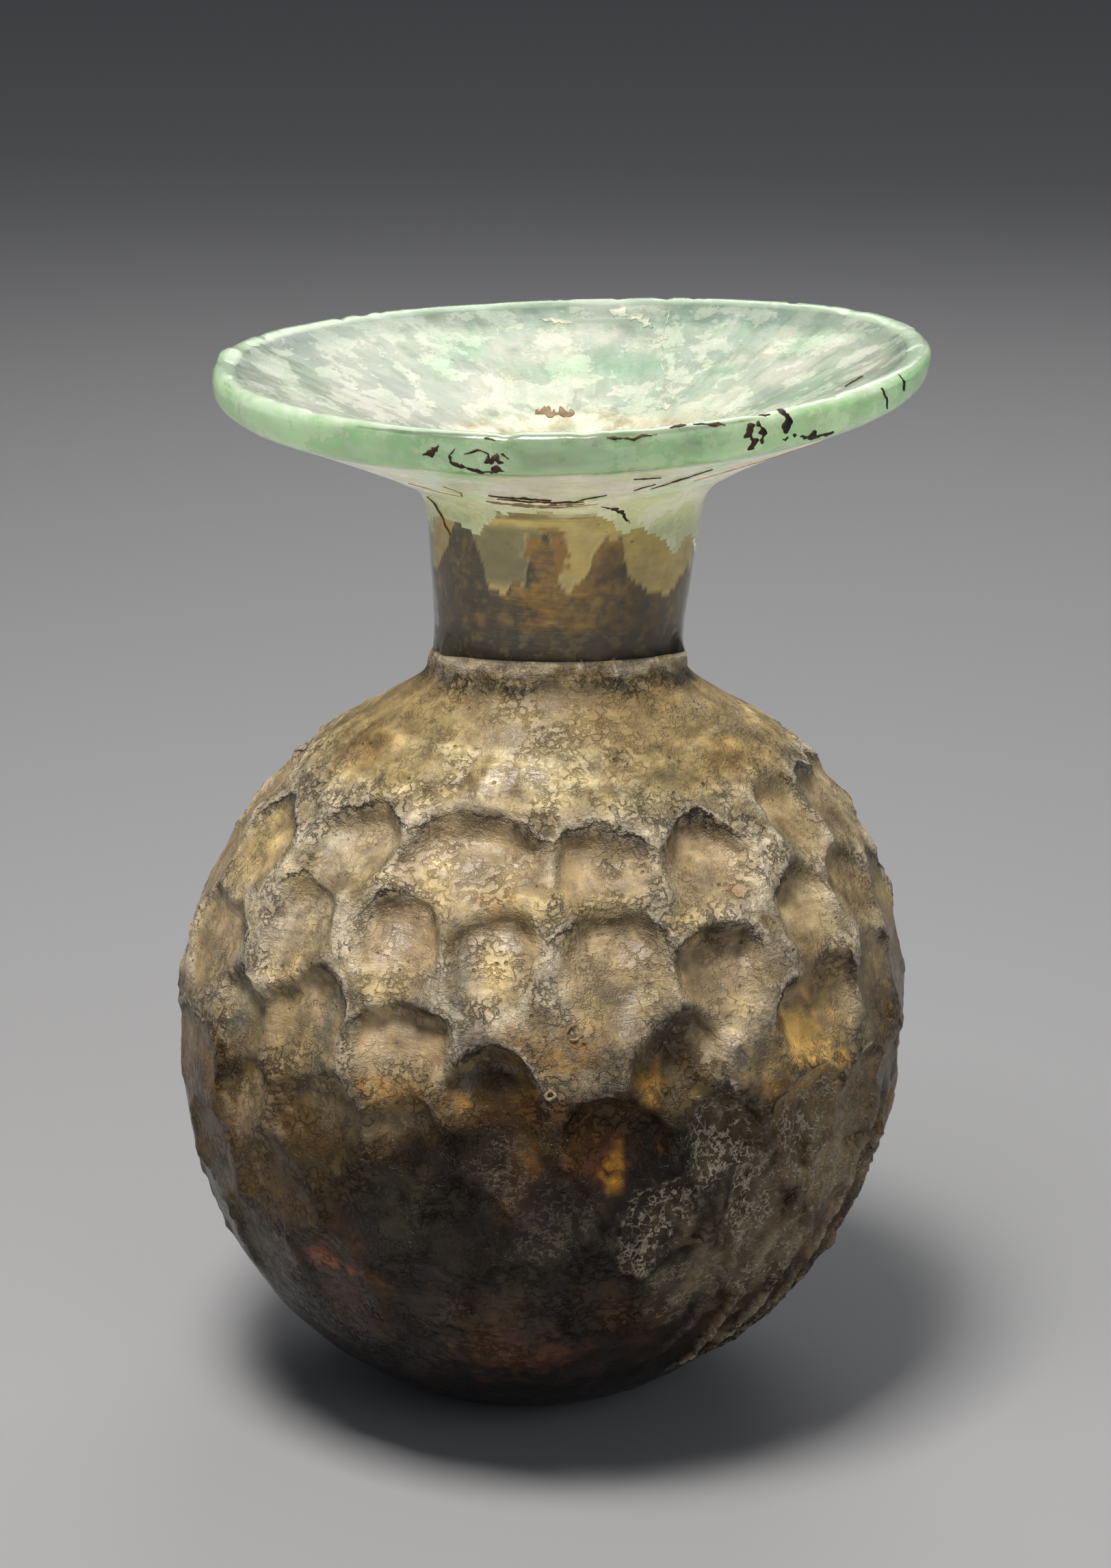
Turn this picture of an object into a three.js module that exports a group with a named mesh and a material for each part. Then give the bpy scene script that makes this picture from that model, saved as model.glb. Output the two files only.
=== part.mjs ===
// A free-standing globular glass bottle: a round body pressed all over with rows of shallow
// hollows like a honeycomb, a short neck and a wide, thick-lipped mouth shaped like a dish.
// It is one piece of glass, open at the mouth and empty, so it is one closed solid.
// Units are millimetres, +Z is up, and azimuth 0 faces -Y. The bottle stands on the plane Z = 0,
// and the middle of its flat foot is the origin.
import * as THREE from "three";

// Body: two half ellipses that meet at the widest ring, cut off flat at the foot.
const BODY_RADIUS = 40.5;
const LOWER_DEPTH = 45.7; // vertical half axis below the widest ring
const UPPER_RISE = 38.8; // vertical half axis above it
const FOOT_RADIUS = 12;
const SHOULDER_RADIUS = 20; // where the body hands over to the neck's root
const EQUATOR_HEIGHT = LOWER_DEPTH * Math.sqrt(1 - (FOOT_RADIUS / BODY_RADIUS) ** 2);

// Neck, as [radius, height] up its outside: a fillet, a faint collar, the waist and a flare.
const NECK_LINE = [[17, 79.8], [14.6, 81.3], [14.3, 82.7], [13.4, 84.6], [13.9, 91], [14.7, 99.6],
  [15.7, 102], [17.4, 103.4], [20.6, 105]];

// Mouth: a shallow dish with a thick, nearly upright lip.
const LIP_RADIUS = 37.8;
const LIP_TOP = 116;
const LIP_HEIGHT = 4;
const LIP_CREST_RADIUS = 37;
const LIP_INNER_RADIUS = 35.2;
const DISH_SLOPE = Math.tan(THREE.MathUtils.degToRad(23));
const DISH_FOOT_RADIUS = 14.6;
const THROAT = { radius: 11.4, height: 104.6 };

// Inside of the glass.
const BORE_RADIUS = 8.4; // the neck's wall is thick
const BORE_TOP = 102.4;
const BORE_FOOT = 82.4;
const WALL = 3; // at the widest ring, between the hollows
const ROOF_THICKNESS = 3;
const FLOOR_THICKNESS = 3.2;
const CAVITY_MOUTH_RADIUS = 12;

// The bottle was shaped by hand: it leans, and neither its neck's root nor its mouth is level.
const LEAN = 0.044; // sideways shift towards +X for each millimetre of height
const MOUTH_TILT = 0.031; // rise of the mouth for each millimetre towards +X
const MOUTH_SAG = 0.67; // its sides stand this much above the middle height, front and back below
const ROOT_SLANT = 2; // how much higher the neck's root is in front
const OUT_OF_ROUND = 0.25;

// Hollows. A row's climb is its distance up the outer wall from the foot's edge, and each hollow
// is [azimuth, half width] in degrees, with a lift in millimetres where it strays from its row.
const HOLLOW_DEPTH = 1.7;
const HOLLOW_HALF_HEIGHT = 4.9;
const TOP_ROW_CLIMB = 83;
const ROW_STEP = 9.5;
const FRONT_ROWS = [
  [[-67.5, 9, -2.5], [-42, 10, 1.1], [-15.5, 14.2, 1.1], [10, 9.8, 1.1], [30, 9.4, 1.1],
    [61.5, 7.5, 2.7], [76, 7, 1.5]],
  [[-83, 8, 1], [-46.4, 8.6, 1], [-26, 8.2, 1], [-9.4, 7, 1], [10.7, 10.6, -0.6], [29.8, 8, -3],
    [49.4, 8, 1.6], [66.6, 7, 1.6], [82, 7, -1.5]],
  [[-68, 8.6, 4.6], [-53, 6.8, -1.6], [-41, 7.4], [-22, 8.2], [-7, 7, -4.4], [21.2, 8, -2.4],
    [47, 8.6], [64, 7, 1], [78, 6.6, -1]],
  [[-85, 7.6], [-69, 8.6, 1.1], [-51.5, 7], [-36, 7.2, -0.9], [-20.6, 7, -1.1], [-5.6, 6.6, -0.9],
    [11.3, 7.2], [28, 6.8, -2.1], [43, 7, 0.6], [58, 6.4, -3.1], [70, 6.4, -2], [84, 7.4]],
  [[-76, 7], [-61, 8], [-45, 8], [-28, 8], [-13, 6.4], [0.6, 6.6, 0.6], [18, 6.8, -0.6],
    [35.6, 6.8, -1], [53.4, 6.4, -1.4], [67, 6.6, -2.4], [79, 6.6]],
  [[-86, 7], [-71, 8], [-54, 8], [-37, 8], [-20, 8], [-3, 8], [11, 6.4], [26, 7, -0.6], [43.6, 7],
    [60.5, 7, -0.6], [80, 8]],
];
const BACK_START = [90, 99]; // azimuth where a row turns even round the back, row about row
const BACK_END = 276;
const BACK_PITCH = 18;
const BACK_HALF_WIDTH = 8.9;

// Facets: segments to a back pitch and rings to a row step are whole numbers, so that the even
// hollows all come out alike.
const SEGMENTS = 80;
const RINGS_PER_ROW = 4;

const { smoothstep, radToDeg, euclideanModulo } = THREE.MathUtils;
const point = (radius, height) => new THREE.Vector2(radius, height);

// Part of an ellipse round the widest ring's centre, between two angles above that ring.
const wallCurve = (radius, verticalAxis, from, to) =>
  new THREE.EllipseCurve(0, EQUATOR_HEIGHT, radius, verticalAxis, from, to, to < from);

// Outside of the body, from the foot's edge to the shoulder.
function bodyLine() {
  const line = new THREE.CurvePath();
  const footAngle = -Math.acos(FOOT_RADIUS / BODY_RADIUS);
  line.add(wallCurve(BODY_RADIUS, LOWER_DEPTH, footAngle, 0));
  line.add(wallCurve(BODY_RADIUS, UPPER_RISE, 0, Math.acos(SHOULDER_RADIUS / BODY_RADIUS)));
  return line;
}

// Distances up the outer wall at which it has a ring of vertices, close together where pressed.
function ringClimbs(length) {
  const ringStep = ROW_STEP / RINGS_PER_ROW;
  const lowest = TOP_ROW_CLIMB - (FRONT_ROWS.length - 0.5) * ROW_STEP;
  const pressedRings = FRONT_ROWS.length * RINGS_PER_ROW + 1;
  const pressed = Array.from({ length: pressedRings }, (_, i) => lowest + i * ringStep);
  const highest = pressed[pressedRings - 1];
  const plain = [0, lowest / 3, (2 * lowest) / 3];
  return [...plain, ...pressed, (highest + length) / 2, length];
}

// The lip's section, from its lower outer edge over the crest to the dish.
function lip() {
  return [
    point(LIP_CREST_RADIUS - 0.4, LIP_TOP - LIP_HEIGHT),
    point(LIP_RADIUS - 0.2, LIP_TOP - LIP_HEIGHT + 1),
    point(LIP_RADIUS, LIP_TOP - 1.2),
    point(LIP_CREST_RADIUS, LIP_TOP),
    point(LIP_INNER_RADIUS, LIP_TOP - 0.6),
  ];
}

// Inside of the glass, from the dish down through the bore to the middle of the floor.
function innerWall() {
  const dishDrop = (radius) => LIP_TOP - 0.8 - (LIP_INNER_RADIUS - radius) * DISH_SLOPE;
  const radius = BODY_RADIUS - WALL;
  const mouthAngle = Math.acos(CAVITY_MOUTH_RADIUS / radius);
  return [
    point(25, dishDrop(25) - 0.2),
    point(DISH_FOOT_RADIUS, dishDrop(DISH_FOOT_RADIUS)),
    point(THROAT.radius, THROAT.height),
    point(BORE_RADIUS + 1.2, BORE_TOP),
    point(BORE_RADIUS + 0.8, BORE_TOP - 4),
    point(BORE_RADIUS, BORE_FOOT + 4),
    point(BORE_RADIUS + 0.8, BORE_FOOT),
    ...wallCurve(radius, UPPER_RISE - ROOF_THICKNESS, mouthAngle, 0).getPoints(5),
    ...wallCurve(radius, EQUATOR_HEIGHT - FLOOR_THICKNESS, 0, -Math.PI / 2).getPoints(6).slice(1, -1),
    point(0, FLOOR_THICKNESS),
  ];
}

// Every hollow round the body: the ones in front as listed, the rest at an even pitch.
function allHollows() {
  return FRONT_ROWS.flatMap((front, row) => {
    const rowClimb = TOP_ROW_CLIMB - row * ROW_STEP;
    const start = BACK_START[row % BACK_START.length];
    const count = Math.floor((BACK_END - start) / BACK_PITCH) + 1;
    const back = Array.from({ length: count }, (_, i) => [start + i * BACK_PITCH, BACK_HALF_WIDTH]);
    return [...front, ...back].map(([azimuth, halfWidth, lift = 0]) => ({
      azimuth, halfWidth, climb: rowClimb + lift,
    }));
  });
}

// How deep the wall is pressed in at an azimuth in degrees and a climb in millimetres.
function pressedDepth(hollows, azimuth, climb) {
  const depths = hollows.map((hollow) => {
    const turn = euclideanModulo(azimuth - hollow.azimuth + 180, 360) - 180;
    const across = turn / hollow.halfWidth;
    const up = (climb - hollow.climb) / HOLLOW_HALF_HEIGHT;
    return HOLLOW_DEPTH * (1 - across * across - up * up);
  });
  return Math.max(0, ...depths);
}

// Lean, slant and tilt of a point on the level, upright bottle.
function handShaped(radius, height, turn) {
  const x = radius * Math.sin(turn);
  const atRoot = smoothstep(height, 70, 82) * (1 - smoothstep(height, 82, 98));
  const atMouth = smoothstep(height, 95, 108);
  const slant = ROOT_SLANT * atRoot * Math.cos(turn);
  const mouth = atMouth * (MOUTH_TILT * x - MOUTH_SAG * (radius / LIP_RADIUS) * Math.cos(2 * turn));
  return new THREE.Vector3(x + LEAN * height, -radius * Math.cos(turn), height + slant + mouth);
}

// Moves every vertex of the turned shape: presses the hollows into the wall, whose rings start
// at the given place in the profile, and shapes the rest by hand.
function shapeByHand(geometry, profile, wallStart, climbs) {
  const position = geometry.getAttribute("position");
  const hollows = allHollows();
  for (let i = 0; i <= SEGMENTS; i += 1) {
    const turn = ((i % SEGMENTS) / SEGMENTS) * 2 * Math.PI;
    profile.forEach((at, j) => {
      let { x: radius, y: height } = at;
      const ring = j - wallStart;
      if (ring > 0 && ring < climbs.length) {
        const along = new THREE.Vector2().subVectors(profile[j + 1], profile[j - 1]).normalize();
        const depth = pressedDepth(hollows, radToDeg(turn), climbs[ring]);
        const swell = OUT_OF_ROUND * Math.cos(2 * turn + 1) * smoothstep(radius, 15, 30);
        radius += swell - depth * along.y;
        height += depth * along.x;
      }
      position.setXYZ(i * profile.length + j, ...handShaped(radius, height, turn));
    });
  }
  geometry.computeVertexNormals();
}

function makeBottle() {
  const body = bodyLine();
  const climbs = ringClimbs(body.getLength());
  const wall = climbs.map((climb) => body.getPointAt(climb / body.getLength()));
  const neck = NECK_LINE.map(([radius, height]) => point(radius, height));
  const footMiddle = point(0, 0);
  const profile = [footMiddle, ...wall, ...neck, ...lip(), ...innerWall()];
  const geometry = new THREE.LatheGeometry(profile, SEGMENTS);
  shapeByHand(geometry, profile, 1, climbs);
  const glass = new THREE.MeshStandardMaterial({ color: 0x6b5a38, roughness: 0.35, metalness: 0 });
  const bottle = new THREE.Mesh(geometry, glass);
  bottle.name = "bottle";
  return bottle;
}

const part = new THREE.Group();
part.add(makeBottle());

export default part;
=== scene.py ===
"""Ancient globular glass bottle with pressed hollows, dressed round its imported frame."""

import functools
import logging
import math
from collections.abc import Callable
from dataclasses import dataclass, field, fields, replace
from enum import Enum

import bpy
import numpy as np
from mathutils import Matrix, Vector, noise
from mathutils.bvhtree import BVHTree


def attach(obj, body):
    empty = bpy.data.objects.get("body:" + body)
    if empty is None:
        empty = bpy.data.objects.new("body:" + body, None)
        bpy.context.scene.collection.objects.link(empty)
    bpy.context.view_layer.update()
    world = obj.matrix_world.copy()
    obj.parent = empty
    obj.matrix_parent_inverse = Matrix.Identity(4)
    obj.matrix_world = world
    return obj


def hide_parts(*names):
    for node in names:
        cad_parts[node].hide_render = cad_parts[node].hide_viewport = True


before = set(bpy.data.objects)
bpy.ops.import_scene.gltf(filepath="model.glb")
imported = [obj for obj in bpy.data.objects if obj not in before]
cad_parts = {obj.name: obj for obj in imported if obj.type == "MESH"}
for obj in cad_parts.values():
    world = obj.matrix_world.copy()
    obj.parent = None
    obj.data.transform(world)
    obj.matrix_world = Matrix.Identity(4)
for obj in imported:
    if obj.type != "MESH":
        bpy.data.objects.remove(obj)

LOG = logging.getLogger("bottle")
MM = 0.001
CAD_NODE = "bottle"
BODY = "root"

Array = np.ndarray
Socket = bpy.types.NodeSocket


class Zone(Enum):
    """Stretches of the vessel's section, in order from the foot to the middle of the floor."""

    FOOT = 0
    WALL = 1
    ROOT = 2
    NECK = 3
    UNDERSIDE = 4
    LIP = 5
    DISH = 6
    THROAT = 7
    BORE = 8
    CAVITY = 9


class Slot(Enum):
    """Material slots of the vessel, in order."""

    BURIAL_CRUST = 0
    NECK_GLASS = 1
    LIP_GLASS = 2
    DISH_FILM = 3
    BORE_CRUST = 4
    BORE_STAIN = 5
    SOIL_FILM = 6
    FLANGE_FILM = 7
    DEEP_CRUST = 8


class Pigment(Enum):
    """Colours of the glass, its film and its crust, as display red, green and blue."""

    HONEY = (176, 152, 104)
    WHEAT = (204, 184, 138)
    STRAW = (208, 182, 124)
    SAND = (190, 170, 134)
    CHALK = (232, 215, 187)
    TAUPE = (168, 144, 112)
    ASH = (176, 164, 140)
    UMBER = (122, 95, 58)
    WALNUT = (84, 58, 30)
    OCHRE = (160, 120, 58)
    AMBER = (206, 148, 46)
    BRASS = (250, 200, 116)
    RUST = (150, 84, 46)
    OLIVE = (74, 66, 44)
    MOSS = (134, 116, 76)
    SLATE = (104, 106, 98)
    BISTRE = (40, 27, 15)
    SOOT = (20, 15, 11)
    PLUM = (56, 38, 36)
    CREAM = (240, 238, 226)
    MILK = (212, 222, 208)
    AQUA = (192, 216, 202)
    SAGE = (238, 233, 208)
    SMOKE = (164, 176, 164)
    OLIVINE = (198, 174, 112)
    STEEL = (104, 104, 82)
    GOLD = (134, 100, 34)
    PEAT = (36, 26, 15)
    LEAF = (168, 204, 166)

    @property
    def linear(self) -> Array:
        """Scene-linear red, green and blue."""
        return to_linear(np.array(self.value) / 255.0)

    def tuned(self, *shares: float) -> Array:
        """Scene-linear colour times one share for all of it, or one for each channel."""
        return self.linear * np.array(shares)


P = Pigment


def to_linear(colour: Array) -> Array:
    """Turns display values from 0 to 1 into scene-linear ones."""
    return np.where(colour <= 0.04045, colour / 12.92, ((colour + 0.055) / 1.055) ** 2.4)


def step_between(value: Array, low: float | Array, high: float | Array) -> Array:
    """Smooth step from 0 at low to 1 at high."""
    share = np.clip((value - low) / (high - low), 0.0, 1.0)
    return share * share * (3.0 - 2.0 * share)


def band(value: Array, rise: tuple[float, float], fall: tuple[float, float]) -> Array:
    """Smooth step up over one range of a value and down again over a higher one."""
    return step_between(value, *rise) * (1.0 - step_between(value, *fall))


def swelling(gap: Array, width: float) -> Array:
    """Rounded hump: 1 where the gap is 0, and fading out over a width."""
    return np.exp(-(gap / width) ** 2)


def away(azimuth: Array, middle: float) -> Array:
    """Degrees from a middle azimuth to each azimuth, -180 to 180."""
    return (azimuth - middle + 180.0) % 360.0 - 180.0


def round_line(azimuth: Array, knots: tuple[tuple[float, float], ...]) -> Array:
    """Value at each azimuth of a line drawn right round the bottle through its knots."""
    turns, values = np.array(knots, float).T
    return np.interp(azimuth, turns, values, period=360.0)


def lengths_along(line: Array) -> Array:
    """Distance along a line from its start to each of its points."""
    return np.concatenate([[0.0], np.cumsum(np.hypot(*np.diff(line, axis=0).T))])


def layered(value: Array) -> Array:
    """Turns a smooth field into flat sheets with short steps between them."""
    level = np.floor(value)
    return level + step_between(value - level, 0.3, 0.7)


def mix(base: Array, over: Array, share: Array | float) -> Array:
    """Lays one colour over another by a share for each point."""
    share = np.asarray(share, float)
    return base + (over - base) * (share[..., None] if share.ndim else share)


def glazed(ground: Pigment | Array, *glazes: tuple[Pigment | Array, Array | float]) -> Array:
    """Lays glazes over a ground, one after another.

    Args:
        ground: The colour underneath.
        glazes: Each glaze's colour and its share at every point.

    Returns:
        The linear colour of every point.
    """
    tint = ground.linear if isinstance(ground, Pigment) else ground
    for colour, share in glazes:
        tint = mix(tint, colour.linear if isinstance(colour, Pigment) else colour, share)
    return tint


def grain(points: Array, size: float, octaves: int, seed: float) -> Array:
    """Fractal noise at each point.

    Args:
        points: Places in millimetres, one row each.
        size: Size in millimetres of the largest lumps.
        octaves: How many finer layers are added.
        seed: Shift that gives another pattern.

    Returns:
        One value for each point, about -1 to 1.
    """
    moved = points / size + seed * 17.3
    return np.array([noise.fractal(p, 0.9, 2.1, octaves) for p in moved.tolist()])


def rounded(points: tuple[tuple[float, float], ...] | Array, parts: int = 12) -> Array:
    """Draws a smooth curve through a few points.

    Args:
        points: The points that it passes through.
        parts: How many short pieces lie between two of them.

    Returns:
        The curve as close points.
    """
    p = np.array(points, float)
    p = np.vstack([2 * p[0] - p[1], p, 2 * p[-1] - p[-2]])
    share = np.linspace(0.0, 1.0, parts, endpoint=False)[:, None]
    pieces = []
    for a, b, c, d in zip(p[:-3], p[1:-2], p[2:-1], p[3:]):
        pieces.append(0.5 * (2 * b + (c - a) * share + (2 * a - 5 * b + 4 * c - d) * share ** 2
                             + (3 * b - a - 3 * c + d) * share ** 3))
    return np.vstack([*pieces, p[-2:-1]])


@dataclass(frozen=True)
class Hollow:
    """One hollow pressed into the wall.

    Azimuth and half width are in degrees and the other sizes in millimetres; the climb is the
    distance up the outer wall from the foot's edge. Floor is its stain, if it has one of its
    own, and salt the strength of the pale salts in it.
    """

    azimuth: float
    half_width: float
    climb: float
    floor: Pigment | None = None
    salt: float = 0.0
    half_height: float = 4.9
    depth: float = 2.3


def row_strength(climb: float) -> float:
    """How firmly a row is pressed: the lowest rows are the faintest."""
    return float(np.interp(climb, (35.0, 45.0, 54.0, 64.0), (0.25, 0.5, 0.75, 1.0)))


def side_strength(azimuth: float) -> float:
    """How firmly a hollow in front is pressed: shallower towards the two sides."""
    return float(np.interp(abs(azimuth), (42.0, 76.0), (1.0, 0.3)))


def row(climb: float, *entries: tuple) -> list[Hollow]:
    """Makes the hollows of one row in front.

    Args:
        climb: The row's own climb.
        entries: For each hollow its azimuth, half width and lift off the row's climb, and then
            any of Hollow's fields from floor on.

    Returns:
        The hollows, each as deep as its row and side let it be.
    """
    made = [Hollow(az, half, climb + lift, *rest) for az, half, lift, *rest in entries]
    return [replace(h, depth=h.depth * row_strength(climb) * side_strength(h.azimuth))
            for h in made]


FRONT_HOLLOWS: list[Hollow] = [
    *row(83.5, (-67.5, 9.6, -3.5, P.STRAW), (-43, 10.5, 0, P.ASH, 0, 4.2),
         (-15.5, 14.2, 0, P.TAUPE), (9.5, 9.8, 0, P.TAUPE), (30, 9.6, 0, P.TAUPE),
         (59.8, 9.6, 1.3, P.HONEY), (77, 8, 0, P.UMBER)),
    *row(74.5, (-84, 8, 0, P.TAUPE), (-46.4, 8.6, 0, P.ASH), (-26, 7.6, 0, P.TAUPE),
         (-9.6, 6.6, 0, P.TAUPE), (10.7, 10.4, -1.6, P.TAUPE, 0, 5.4), (29.4, 7.8, -4.0, P.TAUPE),
         (49.2, 7.8, 0.4, P.WHEAT), (67.3, 8, 0, P.UMBER), (81, 6.5, -3.8, P.MOSS)),
    *row(64, (-67.5, 9.8, 4.4, P.TAUPE), (-53.4, 6.8, -2, P.ASH), (-40.6, 8.2, 0, P.TAUPE),
         (-22.5, 8, 0, P.TAUPE), (-7, 6.6, -4.6, P.WALNUT), (21.2, 7.6, -2, P.OLIVE),
         (48.7, 9, 0, P.HONEY), (66, 7.5, 0, P.OLIVE), (80, 6.6, -1, P.OLIVE)),
    *row(54, (-85, 7.6, 0), (-70, 9, 0), (-51, 7, 0, P.MOSS), (-36, 7.4, 0), (-21, 7, 0),
         (-6, 6.6, -0.8, None, 0.12), (11, 7, 0, P.BISTRE),
         (27.6, 6.8, -1.4, P.OLIVE, 0.9), (44.5, 7.2, -1.6, P.UMBER, 0.9),
         (58, 6.4, -1.6, P.TAUPE, 0.5), (71, 6.4, -2, P.OLIVE), (84, 7.4, 0)),
    *row(45, (-79, 8, 0), (-62, 8, 0), (-45, 8, 0), (-28, 8, 0), (-12, 6, 0),
         (1, 6.4, 1.2, P.PLUM, 0.15), (17.7, 6.8, 0, P.BISTRE, 0.8),
         (35.2, 6.6, 0, P.OLIVE, 0.9), (53.8, 6, -0.6, P.TAUPE, 0.9),
         (67, 6, -2.4, P.OLIVE, 0.5), (79, 6.6, 0)),
    *row(35.5, (-86, 7, 0), (-70, 8, 0), (-53, 8, 0), (-36, 8, 0), (-19, 8, 0), (-2, 8, 0),
         (12, 7, 0), (27, 7.4, 0, P.OLIVE, 0.3), (44, 7.4, 0, P.OLIVE, 0.6),
         (61, 7.4, 0), (80, 8, 0)),
]
BACK_CLIMBS = (83.0, 73.5, 64.0, 54.5, 45.0, 35.5)
BACK_STARTS = (90.0, 99.0)
BACK_END = 276.0
BACK_PITCH = 18.0
BACK_HALF_WIDTH = 8.8
BACK_DEPTH = 1.9
BACK_FLOORS = (P.TAUPE, P.ASH, P.WHEAT)
STRAY_TURN = 2.2
STRAY_SIZE = 1.1


def back_hollows() -> list[Hollow]:
    """Makes the hollows round the far side.

    Returns:
        Even rows of hollows, each a little astray as if pressed by hand.
    """
    made = []
    for level, climb in enumerate(BACK_CLIMBS):
        for azimuth in np.arange(BACK_STARTS[level % 2], BACK_END + 0.1, BACK_PITCH).tolist():
            stray = Vector([noise.noise(Vector((azimuth * 0.37, level * 3.1, 0.5 + 7.3 * part)))
                            for part in range(3)])
            floor = BACK_FLOORS[int(azimuth / BACK_PITCH + level) % len(BACK_FLOORS)]
            towards_side = float(np.interp(
                azimuth, (90.0, 112.0, 250.0, 272.0), (0.35, 1.0, 1.0, 0.35)))
            made.append(Hollow(
                azimuth + STRAY_TURN * stray.x, BACK_HALF_WIDTH + STRAY_SIZE * stray.z,
                climb + STRAY_SIZE * stray.y, floor if climb > 62.0 else None,
                salt=0.5 if stray.x > 0.25 else 0.0,
                depth=BACK_DEPTH * row_strength(climb) * towards_side))
    return made


@dataclass(frozen=True)
class Patch:
    """A stain on the wall: its middle, half width in degrees, half height in millimetres,
    colour, strength, and how ragged its edge is."""

    azimuth: float
    climb: float
    half_width: float
    half_height: float
    pigment: Pigment
    strength: float = 0.8
    ragged: float = 0.6


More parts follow.
